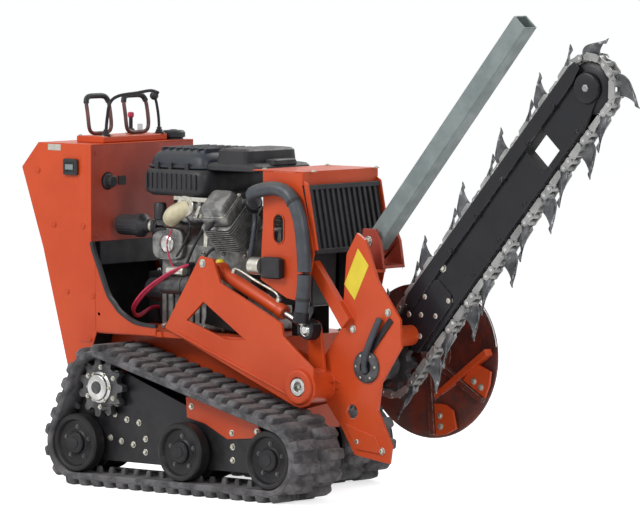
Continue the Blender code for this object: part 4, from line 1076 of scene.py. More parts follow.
base = 1.0503
dome = cover((0.104, 0.385), (-0.166, 0.146), [(base, 0.006), (base + 0.004, 0.0), (base + 0.010, 0.0),
             (base + 0.012, 0.008), (base + 0.030, 0.011), (base + 0.048, 0.020), (base + 0.060, 0.040),
             (base + 0.066, 0.075)])
tray = cover((0.360, 0.598), (-0.150, 0.135), [(base, 0.004), (base + 0.003, 0.0), (base + 0.016, 0.002),
             (base + 0.024, 0.010), (base + 0.027, 0.030)], 0.2)
raised = cover((0.405, 0.545), (-0.140, 0.120), [(base + 0.020, 0.0), (base + 0.066, 0.004),
               (base + 0.073, 0.012), (base + 0.075, 0.030)], 0.22)
ribs = [block(at(0.150 + 0.032 * k, -0.125, base + 0.050), at(0.158 + 0.032 * k, 0.105, base + 0.0695))
        for k in range(7)]
knob = turned([(0, base + 0.060), (0.020, base + 0.060), (0.024, base + 0.066), (0.022, base + 0.074),
               (0, base + 0.076)], at(0.330, -0.010, 0.0), "Z", 30, 0.05, 10)
clips = [plate([(x, z), (x + 0.016, z), (x + 0.016, z + 0.034), (x, z + 0.034)], -0.1735, -0.164)
         for x, z in ((at(x, 0, 0)[0], base - 0.012) for x in (0.165, 0.225, 0.300))]
snorkel = cover((0.548, 0.598), (-0.060, 0.060), [(base + 0.022, 0.0), (base + 0.036, 0.003),
                (base + 0.040, 0.010)])
parts = [(dome, LID_PLASTIC), (tray, BLACK_PLASTIC), (raised, BLACK_PLASTIC), (knob, BLACK_PLASTIC),
         (snorkel, BLACK_PLASTIC)]
parts += [(rib, LID_PLASTIC) for rib in ribs] + [(clip, BLACK_PLASTIC) for clip in clips]
piece("air_cleaner_lid", parts, "root", ("air_cleaner_cover",), bevel=0.0012)

shroud = cover((0.112, 0.398), (-0.188, 0.188), [(0.962, 0.018), (0.972, 0.004), (0.980, 0.0), (1.030, 0.0),
               (1.044, 0.004), (base - 0.0006, 0.010)], 0.25)
neck = cover((0.130, 0.392), (-0.060, 0.060), [(0.8606, 0.0), (0.970, 0.0)], 0.3)
fins = [block(at(x, y, 0.985), at(x + 0.006, y + 0.004, 1.038)) for x in np.arange(0.140, 0.380, 0.022)
        for y in (-0.191, 0.187)]
parts = [(shroud, BLACK_PLASTIC), (neck, DARK_CASTING)] + [(fin, BLACK_PLASTIC) for fin in fins]
piece("blower_shroud", parts, "root", ("blower_housing",), bevel=0.0012)
print("covers done")

# %% Engine block and cylinders
VEE = math.radians(42)                      # lean of each cylinder
FINS = 12
FIN_STEP = 0.0092


def fin_stack(side, x_low, x_high):
    """One cylinder: a round-cornered barrel, twelve thin fins square to the bore, a head and a cover.

    Local axes are across the bore, along the crank and up the bore; the bore leans by the V's angle.
    """
    out = np.array([0.0, side * math.sin(VEE), math.cos(VEE)])
    crank = np.array([1.0, 0.0, 0.0])
    across = np.cross(crank, out)
    frame_of = np.stack([across, crank, out], -1)
    foot = at((x_low + x_high) / 2, side * 0.095, (0.797 + 0.860) / 2) + out * 0.0003
    half = (x_high - x_low) / 2
    fin = pillow(0.074, half, [(0.0, 0.985), (0.0008, 1.0), (0.0026, 1.0), (0.0034, 0.985)], 0.22, 28)
    heights = 0.006 + FIN_STEP * np.arange(FINS)
    parts = [(stamped(fin, np.broadcast_to(frame_of, (FINS, 3, 3)), foot + heights[:, None] * out), CASTING)]
    barrel = pillow(0.054, half * 0.80, [(0.0, 1.0), (0.118, 1.0)], 0.5, 28)
    head = pillow(0.060, half * 0.90, [(0.114, 0.98), (0.118, 1.0), (0.140, 1.0), (0.144, 0.97)], 0.3, 28)
    lid = pillow(0.054, half * 0.80, [(0.143, 1.04), (0.148, 1.04), (0.150, 0.98), (0.166, 0.94),
                                      (0.176, 0.84), (0.179, 0.62)], 0.34, 28)
    for surface, finish in ((barrel, DARK_CASTING), (head, CASTING), (lid, CASTING)):
        parts.append((moved(surface, frame_of, foot), finish))
    corner = [foot + across * a + crank * b + out * 0.148 for a in (-0.052, 0.052)
              for b in (-half * 0.74, half * 0.74)]
    parts.append((bolts(np.array(corner), out, 0.0055, 0.006), ZINC))
    plug = turned([(0, 0), (0.007, 0), (0.007, 0.018), (0.010, 0.020), (0.010, 0.045), (0.006, 0.052),
                   (0, 0.052)], (0, 0, 0), "Z", 18)
    parts.append((moved(plug, facing(-across * side + out * 0.2), foot - across * side * 0.050 + out * 0.128),
                  BLACK_PLASTIC))
    return parts


piece("cylinder_near_fins", fin_stack(-1, 0.415, 0.545), "root", ("cylinder_near",))
piece("cylinder_far_fins", fin_stack(1, 0.405, 0.535), "root", ("cylinder_far",))

extra = []
rib_x = np.arange(0.180, 0.540, 0.030)
for y, sign in ((-0.130, -1), (0.130, 1)):
    rib_low, rib_high = sorted((y, y + sign * 0.006))
    extra += [(block(at(x, rib_low, 0.540), at(x + 0.005, rib_high, 0.640)), DARK_CASTING) for x in rib_x]
case_bolts = [at(x, -0.130, z) for x in (0.165, 0.255, 0.345, 0.435, 0.530) for z in (0.525, 0.775)]
extra.append((bolts(np.array(case_bolts), (0, -1, 0), 0.006, 0.006), ZINC))
end_ring = [at(0.150, 0.095 * math.cos(a), 0.690 + 0.095 * math.sin(a)) for a in np.arange(8) * math.tau / 8]
extra.append((bolts(np.array(end_ring), (-1, 0, 0), 0.006, 0.006), ZINC))
extra.append((turned([(0, 0.140), (0.080, 0.140), (0.086, 0.146), (0.086, 0.151), (0, 0.151)],
                     at(0, 0, 0.690), "X", 44), CASTING))
starter = turned([(0, 0.200), (0.026, 0.200), (0.030, 0.204), (0.030, 0.300), (0.033, 0.302), (0.033, 0.330),
                  (0.022, 0.336), (0.022, 0.360), (0, 0.360)], at(0, -0.168, 0.665), "X", 32)
solenoid = turned([(0, 0.215), (0.015, 0.215), (0.017, 0.218), (0.017, 0.290), (0.012, 0.294), (0, 0.294)],
                  at(0, -0.163, 0.712), "X", 26)
extra += [(starter, DARK_CASTING), (solenoid, ZINC)]
extra.append((block(at(0.215, -0.150, 0.640), at(0.300, -0.128, 0.735)), DARK_CASTING))
machined = pillow(0.070, 0.055, [(0.0, 1.0), (0.018, 1.0), (0.024, 0.92)], 0.5, 26)
extra.append((moved(machined, facing((0, -1, 0)), at(0.200, -0.130, 0.800)), CASTING))
extra.append((turned([(0, -0.130), (0.030, -0.130), (0.032, -0.160), (0.024, -0.166), (0.010, -0.168),
                      (0, -0.166)], at(0.205, 0, 0.800), "Y", 36), STEEL))
dipstick = smooth_line([at(0.470, -0.128, 0.560), at(0.478, -0.155, 0.600), at(0.470, -0.160, 0.680),
                        at(0.455, -0.168, 0.740)])
extra.append((carried(round_section(0.0055, 10), dipstick), ZINC))
extra.append((turned([(0, 0), (0.013, 0), (0.015, 0.004), (0.015, 0.016), (0.009, 0.022), (0, 0.022)],
                     at(0.455, -0.168, 0.740), "Z", 24), YELLOW))
eased("engine_block", 0.004, CASTING, extra)
print("block done")

# %% Carburettor, filter, pipes and wires
parts = []
body = cover((0.262, 0.365), (-0.160, -0.066), [(0.880, 0.006), (0.886, 0.0), (0.940, 0.0), (0.9545, 0.008)],
             0.4)
bowl = turned([(0, 0.876), (0.026, 0.876), (0.032, 0.882), (0.032, 0.905), (0, 0.905)], at(0.300, -0.140, 0),
              "Z", 32)
mouth = turned([(0.020, -0.174), (0.034, -0.174), (0.037, -0.170), (0.037, -0.150), (0.030, -0.140),
                (0.020, -0.140)], at(0.300, 0, 0.930), "Y", 36)
elbow = carried(round_section(0.030, 22), smooth_line([at(0.300, -0.150, 0.925), at(0.280, -0.165, 0.915),
                at(0.245, -0.165, 0.900), at(0.215, -0.145, 0.885)], 0.008))
shaft = turned([(0, -0.176), (0.004, -0.176), (0.004, -0.066), (0, -0.066)], at(0.350, 0, 0.900), "Y", 14)
arm = plate([at(0.343, 0, 0.893)[[0, 2]], at(0.357, 0, 0.893)[[0, 2]], at(0.375, 0, 0.930)[[0, 2]],
             at(0.366, 0, 0.934)[[0, 2]]], -0.176, -0.172)
parts += [(body, CASTING), (bowl, CASTING), (mouth, ZINC), (elbow, CREAM), (shaft, STEEL), (arm, ZINC)]
parts.append((bolts(np.array([at(0.270, -0.160, 0.945), at(0.355, -0.160, 0.945), at(0.270, -0.160, 0.890)]),
                    (0, -1, 0), 0.005, 0.005), ZINC))
piece("carburettor_cast", parts, "root", ("carburettor",), bevel=0.001)

filter_profile = [(0, 0.0602), (0.030, 0.0602), (0.036, 0.063), (0.0375, 0.070), (0.0375, 0.100),
                  (0.0395, 0.104), (0.0395, 0.140), (0.036, 0.146), (0.030, 0.1496), (0, 0.1496)]
piece("oil_filter_can", [(turned(filter_profile, at(0, -0.080, 0.640), "X", 60, 0.012, 15), BLACK_PLASTIC)],
      "root", ("oil_filter",))

wires = [
    ([(0.300, -0.168, 0.900), (0.330, -0.176, 0.860), (0.300, -0.172, 0.810), (0.250, -0.160, 0.760)], 0.0035,
     BLACK_PLASTIC),
    ([(0.380, -0.160, 0.930), (0.400, -0.172, 0.900), (0.380, -0.176, 0.850), (0.330, -0.165, 0.790),
      (0.290, -0.150, 0.740)], 0.0045, BLACK_PLASTIC),
    ([(0.140, -0.100, 0.780), (0.120, -0.130, 0.800), (0.150, -0.160, 0.840), (0.210, -0.170, 0.850)], 0.004,
     BLACK_PLASTIC),
    ([(0.150, -0.060, 0.870), (0.120, -0.080, 0.860), (0.090, -0.070, 0.800), (0.080, -0.050, 0.720),
      (0.060, 0.000, 0.705), (0.030, 0.060, 0.698)], 0.006, BLACK_PLASTIC),
    ([(0.420, -0.140, 0.800), (0.400, -0.165, 0.780), (0.370, -0.170, 0.730), (0.340, -0.160, 0.690)], 0.005,
     BLACK_PLASTIC),
    ([(0.560, -0.110, 0.930), (0.585, -0.140, 0.880), (0.580, -0.150, 0.800), (0.560, -0.140, 0.740),
      (0.550, -0.100, 0.700)], 0.010, HOSE_RUBBER),
    ([(0.610, -0.060, 0.690), (0.630, -0.110, 0.720), (0.650, -0.130, 0.790), (0.655, -0.120, 0.860)], 0.012,
     HOSE_RUBBER),
    ([(0.240, -0.170, 0.850), (0.225, -0.178, 0.800), (0.235, -0.170, 0.740), (0.255, -0.165, 0.715)], 0.003,
     RED_JACKET),
]
parts = [(carried(round_section(radius, 10), smooth_line([at(*p) for p in route])), finish)
         for route, radius, finish in wires]
bar_outline = side_outline((0.385, 0.800), (0.400, 0.800), (0.412, 0.945), (0.400, 0.960), (0.250, 0.962),
                           (0.250, 0.950), (0.388, 0.946))
parts.append((plate(bar_outline, -0.172, -0.168), ZINC))
parts.append((block(at(0.395, -0.150, 0.890), at(0.412, -0.135, 0.960)), DARK_CASTING))
canister = turned([(0, 0.878), (0.018, 0.878), (0.021, 0.882), (0.021, 0.930), (0.017, 0.936), (0, 0.936)],
                  at(0.168, -0.150, 0), "Z", 28)
parts.append((canister, BLACK_PLASTIC))
intake = turned([(0, -0.030), (0.028, -0.030), (0.034, -0.024), (0.034, 0.050), (0.039, 0.054),
                 (0.039, 0.078), (0.030, 0.084), (0.020, 0.092), (0.020, 0.150), (0, 0.150)],
                at(0, -0.135, 0.855), "X", 40, 0.02, 20)
parts.append((intake, BLACK_PLASTIC))
for k in range(3):
    clamp = turned([(0.0195, 0.100 + 0.016 * k), (0.0225, 0.102 + 0.016 * k), (0.0225, 0.108 + 0.016 * k),
                    (0.0195, 0.110 + 0.016 * k)], at(0, -0.135, 0.855), "X", 28)
    parts.append((clamp, ZINC if k == 1 else BLACK_PLASTIC))
parts.append((block(at(0.150, -0.150, 0.860), at(0.200, -0.110, 0.882)), DARK_CASTING))
piece("engine_pipes_and_wires", parts, "root")
print("carburettor, filter and wires done")

# %% Muffler, pump, battery and tanks
eased("muffler", 0.006, extra=[(carried(round_section(0.018, 18), smooth_line(
    [at(0.470, 0.150, 0.700), at(0.470, 0.165, 0.690), at(0.450, 0.180, 0.675)], 0.006)), IRON)])
low, high = corners("hydraulic_pump")
middle = (low + high) / 2
pump_bolts = [(low[0] + dx, low[1], middle[2] + dz) for dx in (0.020, 0.088) for dz in (-0.050, 0.050)]
fitting = turned([(0, -0.062), (0.016, -0.062), (0.016, -0.076), (0.012, -0.078), (0.012, -0.095),
                  (0, -0.095)], np.array([middle[0], 0, middle[2]]), "Y", 6)
eased("hydraulic_pump", 0.004, extra=[(bolts(np.array(pump_bolts), (0, -1, 0), 0.006, 0.006), ZINC),
                                      (fitting, ZINC)])
low, high = corners("battery")
posts = [turned([(0, 0), (0.008, 0), (0.007, 0.010), (0, 0.010)], (x, y, high[2] - 0.0005), "Z", 20)
         for x, y in ((low[0] + 0.022, low[1] + 0.030), (low[0] + 0.022, high[1] - 0.030))]
eased("battery", 0.003, extra=[(post, STEEL) for post in posts])
eased("hydraulic_tank", 0.003)
eased("fuel_tank", 0.003)
print("tanks done")

# %% [markdown]
# The hood is bent sheet: a roof with a lip, two cheeks, and a black grille whose upright ribs lean
# with its face. A thick hydraulic hose arches over the near cheek and runs down to the boom.

# %% Hood, grille and hose
low, high = corners("front_grille")
roof_low, roof_high = corners("hood_top")
face_top = np.array([low[0] + 0.046, high[2] - 0.042])
face_foot = np.array([high[0], low[2]])
run = (face_foot - face_top) / np.linalg.norm(face_foot - face_top)
outward = np.array([-run[1], run[0]])
rib_outline = [face_top + run * 0.006 - outward * 0.002, face_foot - run * 0.004 - outward * 0.002,
               face_foot - run * 0.010 + outward * 0.009, face_top + run * 0.012 + outward * 0.009]
rib_y = np.arange(low[1] + 0.012, high[1] - 0.016, 0.026)
extra = [(plate(rib_outline, y, y + 0.012), BLACK_PLASTIC) for y in rib_y]
for share in (0.03, 0.97):
    bar = face_top + (face_foot - face_top) * share
    rail = [bar - run * 0.008 - outward * 0.002, bar + run * 0.008 - outward * 0.002,
            bar + run * 0.008 + outward * 0.011, bar - run * 0.008 + outward * 0.011]
    extra.append((plate(rail, low[1] + 0.002, high[1] - 0.002), BLACK_PLASTIC))
edge = [face_top - run * 0.020 - outward * 0.004, face_foot - run * 0.010 - outward * 0.004,
        face_foot - run * 0.010 + outward * 0.014, face_top - run * 0.004 + outward * 0.014]
extra += [(plate(edge, high[1] - 0.006, high[1] + 0.001), ENAMEL),
          (plate(edge, low[1] - 0.001, low[1] + 0.006), ENAMEL)]
# The grille's own solid is near black: painted shade in the openings between its ribs.
eased("front_grille", 0.002, DARK_GAP, extra)

roof_bolts = [(x, y, roof_high[2]) for x in (roof_low[0] + 0.025, roof_high[0] - 0.030)
              for y in (roof_low[1] + 0.030, roof_high[1] - 0.030)]
eased("hood_top", 0.0015, ENAMEL, [(bolts(np.array(roof_bolts), (0, 0, 1), 0.007, 0.005), ZINC)])
cheek_face = corners("hood_cheek_near")[0][1]
slot_ring = [at(0.745, 0, z)[[0, 2]] for z in (0.850, 0.900)]
angle = np.linspace(0, math.pi, 12)
outer = np.concatenate([slot_ring[1] + 0.026 * np.stack([np.cos(angle), np.sin(angle)], -1),
                        slot_ring[0] - 0.026 * np.stack([np.cos(angle), np.sin(angle)], -1)])
inner = np.concatenate([slot_ring[1] + 0.0215 * np.stack([np.cos(angle), np.sin(angle)], -1),
                        slot_ring[0] - 0.0215 * np.stack([np.cos(angle), np.sin(angle)], -1)])
mount = cover((0.690, 0.772), (-0.2335, -0.2003),
              [(0.712, 0.010), (0.718, 0.0), (0.778, 0.0), (0.784, 0.010)], 0.3)
stub = turned([(0, 0.640), (0.026, 0.640), (0.029, 0.645), (0.029, 0.690), (0, 0.690)], at(0, -0.2185, 0.752),
              "X", 32)
parts = [(plate(outer, cheek_face - 0.003, cheek_face + 0.001, holes=[inner]), ENAMEL),
         (mount, BLACK_PLASTIC), (stub, ZINC)]
eased("hood_cheek_near", 0.0012, ENAMEL, parts)

HOSE_Y = -0.2231
hose_route = [(0.590, -0.150, 0.940), (0.625, -0.185, 0.965), (0.658, HOSE_Y - 0.0025, 0.990),
              (0.740, HOSE_Y, 1.008), (0.810, HOSE_Y, 0.990), (0.855, HOSE_Y, 0.920), (0.872, HOSE_Y, 0.830),
              (0.878, HOSE_Y, 0.740), (0.872, HOSE_Y, 0.660), (0.866, HOSE_Y, 0.612)]
hose_line = smooth_line([at(*p) for p in hose_route], 0.010)
parts = [(carried(round_section(0.0233, 28), hose_line), HOSE_RUBBER)]
for spot, ahead in ((hose_line[-1], hose_line[-1] - hose_line[-3]),
                    (hose_line[0], hose_line[2] - hose_line[0])):
    sleeve = turned([(0.0215, 0.0), (0.0265, 0.001), (0.0270, 0.006), (0.0262, 0.010), (0.0270, 0.014),
                     (0.0262, 0.018), (0.0270, 0.022), (0.0265, 0.034), (0.0235, 0.036), (0.0215, 0.034)],
                    (0, 0, 0), "Z", 32)
    sign = -1.0 if spot is hose_line[-1] else 1.0
    parts.append((moved(sleeve, facing(sign * ahead), spot), BLACK_ENAMEL))
for k in (30, 62):
    ring = turned([(0.0235, -0.005), (0.0250, -0.005), (0.0250, 0.005), (0.0235, 0.005)], (0, 0, 0), "Z", 32)
    parts.append((moved(ring, facing(hose_line[k + 1] - hose_line[k - 1]), hose_line[k]), BLACK_PLASTIC))
piece("boom_hose_tube", parts, "root", ("boom_hose",))

cable_route = [(0.300, -0.1308, 0.735), (0.296, -0.160, 0.732), (0.240, -0.190, 0.700),
               (0.150, -0.200, 0.640), (0.080, -0.185, 0.580), (0.030, -0.110, 0.548), (0.012, -0.030, 0.570),
               (0.010, 0.0094, 0.572)]
cable_line = smooth_line([at(*p) for p in cable_route], 0.008)
apart = np.sin(np.linspace(0, math.pi, len(cable_line)))[:, None]
second = cable_line + np.array([0.004, -0.010, 0.008]) * apart
boot = turned([(0.0055, 0), (0.0085, 0.002), (0.0085, 0.022), (0.0062, 0.028), (0.0055, 0.028)], (0, 0, 0),
              "Z", 18)
parts = [(carried(round_section(0.006, 16), cable_line), RED_JACKET),
         (moved(boot, facing(cable_line[3] - cable_line[0]), cable_line[0]), BLACK_PLASTIC),
         (carried(round_section(0.0042, 12), second[4:-3]), RED_JACKET)]
piece("battery_cable_run", parts, "root", ("battery_cable",))
print("hood, hose and cable done")

# %% [markdown]
# The operator's console is folded sheet. Its near side has a folded front edge, a rubber
# trim round the curved opening, a seam with bolts, and a small gauge. The controls on top are bent
# bars: two red-brown traction loops, two black levers, a throttle and a key.

# %% Console
near_face = corners("console_side_near")[0][1]
cut_out = [(-0.054, 0.800), (-0.046, 0.770), (-0.020, 0.715), (0.020, 0.630), (0.050, 0.597), (0.080, 0.570),
           (0.150, 0.540), (0.240, 0.532)]
edge_line = smooth_line([at(x, near_face + 0.002, z) for x, z in cut_out], 0.008)
trim_section = [(-0.006, -0.005), (0.006, -0.005), (0.006, 0.009), (0.003, 0.011), (-0.003, 0.011),
                (-0.006, 0.009)]
trim = carried(trim_section, edge_line, up=(0.0, 1.0, 0.0))
fold = block(at(-0.066, near_face - 0.0022, 0.800), at(-0.0535, near_face + 0.001, 1.122))
seam = block(at(-0.036, near_face - 0.0006, 0.505), at(-0.0335, near_face + 0.001, 0.740))
strip = block(at(-0.110, near_face - 0.0012, 0.462), at(-0.050, near_face + 0.001, 0.466))
label = block(at(-0.255, near_face - 0.0012, 1.100), at(-0.195, near_face + 0.001, 1.121))
side_bolts = [at(x, near_face, z) for x, z in ((-0.166, 0.627), (-0.045, 0.618), (-0.060, 0.472),
                                               (-0.225, 0.850), (-0.090, 0.850), (-0.300, 1.030),
                                               (-0.120, 0.400))]
parts = [(trim, BLACK_PLASTIC), (fold, ENAMEL), (seam, DARK_ENAMEL), (strip, DARK_ENAMEL), (label, ZINC),
         (bolts(np.array(side_bolts), (0, -1, 0), 0.007, 0.004), ENAMEL)]
eased("console_side_near", 0.0012, ENAMEL, parts)
far_face = corners("console_side_far")[1][1]
far_line = edge_line * np.array([1, 0, 1]) + np.array([0, far_face - 0.002, 0])
parts = [(carried(trim_section, far_line, up=(0.0, 1.0, 0.0)), BLACK_PLASTIC)]
parts.append((bolts(np.array([spot * [1, 0, 1] + [0, far_face, 0] for spot in side_bolts]), (0, 1, 0), 0.007,
                    0.004), ENAMEL))
# A near-black plate inside the far side panel, behind its curved opening: painted shade.
shade_plate = side_outline((-0.215, 0.800), (-0.075, 0.800), (-0.040, 0.715), (0.000, 0.625), (0.065, 0.560),
                     (0.150, 0.528), (0.150, 0.518), (-0.150, 0.518))
parts.append((plate(shade_plate, far_face - 0.0095, far_face - 0.0045), DARK_GAP))
eased("console_side_far", 0.0012, ENAMEL, parts)
# Near-black sheets inside the console, along its rear wall and over the deck: painted shade.
rear_shade_sheet = side_outline((-0.262, 0.800), (-0.149, 0.388), (-0.124, 0.345), (-0.100, 0.345), (-0.080, 0.404),
                         (-0.042, 0.508), (-0.046, 0.511), (-0.085, 0.412), (-0.104, 0.351), (-0.122, 0.351),
                         (-0.144, 0.390), (-0.257, 0.800))
deck_shade_sheet = block(at(-0.035, near_face + 0.006, 0.5006), at(0.232, far_face - 0.006, 0.5036))
eased("console_wrap", 0.0015, ENAMEL, [(plate(rear_shade_sheet, near_face + 0.006, far_face - 0.006), DARK_GAP),
                                       (deck_shade_sheet, DARK_GAP)])

front_low, front_high = corners("console_front")
knob = turned([(0, 0.0), (0.026, 0.0), (0.026, 0.006), (0.021, 0.010), (0.020, 0.028), (0.016, 0.032),
               (0, 0.032)], (front_low[0] + 0.001, -0.170, 1.000), "X", 36, 0.03, 12)
front_bolts = [(front_high[0], y, z) for y in (front_low[1] + 0.020, front_high[1] - 0.020) for z in (0.820,
                                                                                                      1.095)]
latch = block((front_high[0] - 0.001, -0.120, 0.985), (front_high[0] + 0.004, -0.085, 1.015))
# The console front and its bolts in the darker enamel: painted shade on the face turned from the key lamp.
eased("console_front", 0.0010, DARK_ENAMEL, [(knob, BLACK_PLASTIC), (latch, BLACK_PLASTIC),
      (bolts(np.array(front_bolts), (1, 0, 0), 0.006, 0.004), DARK_ENAMEL)])

meter_low, meter_high = corners("hour_meter")
glass = block((meter_low[0] + 0.008, meter_low[1] - 0.0010, meter_low[2] + 0.010),
              (meter_high[0] - 0.008, meter_low[1] + 0.002, meter_high[2] - 0.010))
window = block((meter_low[0] + 0.014, meter_low[1] - 0.0016, meter_low[2] + 0.018),
               (meter_high[0] - 0.014, meter_low[1], meter_high[2] - 0.018))
eased("hour_meter", 0.002, BLACK_PLASTIC, [(glass, DARK_GAP), (window, GREY_ENAMEL)])
print("console done")

# %% Controls
plate_low, plate_high = corners("control_plate")
deck_z = plate_high[2]
# The lever slots are filled with near-black blocks: painted shade inside the openings.
slots = [block((x - 0.022, y - 0.006, deck_z - 0.001), (x + 0.022, y + 0.006, deck_z + 0.0012))
         for x, y in ((at(-0.100, 0, 0)[0], -0.130), (at(-0.100, 0, 0)[0], 0.130),
                      (at(-0.180, 0, 0)[0], 0.075))]
corner_bolts = [(x, y, deck_z) for x in (plate_low[0] + 0.010, plate_high[0] - 0.010)
                for y in (plate_low[1] + 0.010, plate_high[1] - 0.010)]
eased("control_plate", 0.002, ENAMEL, [(one, DARK_GAP) for one in slots]
      + [(bolts(np.array(corner_bolts), (0, 0, 1), 0.0045, 0.003), ZINC)])

for side, x, y in (("left", -0.160, -0.095), ("right", -0.120, 0.045)):
    node = f"traction_lever_{side}"
    low, high = corners(node)
    radius, width, top = 0.0065, (high[1] - low[1]) / 2 - 0.0065, high[2] - low[2] - 0.013
    angle = np.linspace(0, math.tau, 72, endpoint=False)
    c, s = np.cos(angle), np.sin(angle)
    bow_y = y + width * np.sign(c) * np.abs(c)**0.42
    rise = top / 2 * (1 + np.sign(s) * np.abs(s)**0.42)
    bow_x = at(x, 0, 0)[0] - 0.020 * (rise / top)**2
    line = np.stack([bow_x, bow_y, low[2] + radius + rise], -1)
    grip = line[(rise > top * 0.80)]
    grip = grip[np.argsort(grip[:, 1])]
    parts = [(carried(round_section(radius, 16), line, closed=True, up=(1.0, 0.0, 0.0)), LOOP_ENAMEL),
             (carried(round_section(radius + 0.0028, 16), grip, up=(1.0, 0.0, 0.0)), BLACK_PLASTIC)]
    piece(f"traction_loop_{side}", parts, BODY_OF[node], (node,))


def lever(node, route, radius, finish, knob_radius=0.0):
    """A bent control rod on its rubber boot, with a ball at its end if it has one."""
    foot = pivot(BODY_JOINT[BODY_OF[node]])
    line = smooth_line([foot + np.array(p) for p in route], 0.006)
    boot = turned([(0, -0.011), (0.014, -0.011), (0.015, -0.006), (0.011, -0.003), (0.012, 0.001),
                   (0.008, 0.004), (0.009, 0.008), (0.0055, 0.012), (0, 0.012)], foot, "Z", 24)
    parts = [(carried(round_section(radius, 14), line, up=(1.0, 0.0, 0.0)), finish), (boot, BLACK_PLASTIC)]
    if knob_radius:
        ball = [(knob_radius * math.sin(a), -knob_radius * math.cos(a)) for a in np.linspace(0, math.pi, 14)]
        ball[0], ball[-1] = (0, -knob_radius), (0, knob_radius)
        parts.append((turned(ball, line[-1], "Z", 28), BLACK_PLASTIC))
    return piece(f"{node}_rod", parts, BODY_OF[node], (node,))


BODY_JOINT = {joint["child"]: joint["name"] for joint in frame["record"]["behaviour"]["joints"]}
lever("boom_lever", [(0, 0, 0.002), (0.004, 0.002, 0.050), (0.008, 0.012, 0.100), (0.012, 0.050, 0.122),
                     (0.020, 0.130, 0.130), (0.028, 0.190, 0.136), (0.032, 0.222, 0.128)], 0.0055,
      BLACK_ENAMEL)
lever("chain_lever", [(0, 0, 0.002), (-0.004, 0, 0.050), (-0.010, -0.004, 0.095), (-0.012, -0.012, 0.116)],
      0.0048, BLACK_ENAMEL, 0.0150)
low, high = corners("throttle_lever")
paddle = turned([(0, high[2] - 0.016), (0.008, high[2] - 0.016), (0.011, high[2] - 0.010),
                 (0.010, high[2] + 0.002), (0, high[2] + 0.004)],
                ((low[0] + high[0]) / 2, (low[1] + high[1]) / 2, 0.0), "Z", 24)
eased("throttle_lever", 0.0012, BLACK_PLASTIC, [(paddle, RED_JACKET)])
eased("ignition_key", 0.0006, STEEL)
cap_low, cap_high = corners("fuel_cap")
cap_z = cap_low[2]
cap_profile = [(0, cap_z), (0.036, cap_z), (0.0395, cap_z + 0.003), (0.0395, cap_z + 0.018),
               (0.034, cap_z + 0.024), (0.012, cap_z + 0.026), (0.010, cap_z + 0.0275), (0, cap_z + 0.0275)]
cap = turned(cap_profile, ((cap_low[0] + cap_high[0]) / 2, (cap_low[1] + cap_high[1]) / 2, 0.0), "Z", 72,
             0.02, 18)
piece("fuel_cap_fluted", [(cap, BLACK_PLASTIC)], BODY_OF["fuel_cap"], ("fuel_cap",),
      bevel=0.0008)
print("controls done")

# %% [markdown]
# The boom pivots between two gussets. The near one is a thick plate with a window; a ring welded
# round the pin carries the load. The swing frame beside it holds the boom, and an oil cylinder
# lifts it: its bright rod slides in an orange barrel.

# %% Chassis, gusset and swing frame
low, high = corners("gusset_near")
pin = PIVOT * np.array([1, 0, 1])
ring = turned([(0.0315, low[1] + 0.0005), (0.0315, low[1] - 0.0115), (0.036, low[1] - 0.0130),
               (0.052, low[1] - 0.0130), (0.056, low[1] - 0.0100), (0.058, low[1] + 0.0005)], pin)
gusset_bolts = [at(0.4525, low[1], 0.752)]
# A near-black plate behind the gusset's window: painted shade, which hides the lit engine fins seen through it.
back = side_outline((0.385, 0.545), (0.430, 0.690), (0.520, 0.650), (0.690, 0.500))
lip = carried([(-0.004, -0.004), (0.004, -0.004), (0.004, 0.004), (-0.004, 0.004)],
              np.array([at(0.335, low[1] - 0.002, 0.517), at(0.845, low[1] - 0.002, 0.338)]))
eased("gusset_near", 0.0022, ENAMEL, [(ring, ENAMEL), (lip, ENAMEL),
      (plate(back, high[1] + 0.001, high[1] + 0.004), DARK_GAP),
      (bolts(np.array(gusset_bolts), (0, -1, 0), 0.010, 0.008), ZINC)])
pin_low, pin_high = corners("pivot_pin")
pin_profile = [(0.016, pin_low[1] + 0.020), (0.016, pin_low[1] + 0.001), (0.018, pin_low[1]),
               (0.0275, pin_low[1]), (0.0298, pin_low[1] + 0.0025), (0.0298, pin_high[1] - 0.0025),
               (0.0275, pin_high[1]), (0, pin_high[1]), (0, pin_low[1] + 0.020)]
grease = turned([(0, pin_low[1] + 0.008), (0.005, pin_low[1] + 0.008), (0.005, pin_low[1] + 0.021),
                 (0, pin_low[1] + 0.021)], pin, sides=12)
piece("pivot_pin_turned", [(turned(pin_profile, pin, sides=48), STEEL), (grease, ZINC)], "root",
      ("pivot_pin",))
deck_bolts = [at(x, y, 0.5148) for x in (0.290, 0.660) for y in (-0.200, 0.200)]
eased("chassis_frame", 0.0022, ENAMEL, [(bolts(np.array(deck_bolts), (0, 0, 1), 0.009, 0.007), ZINC)])

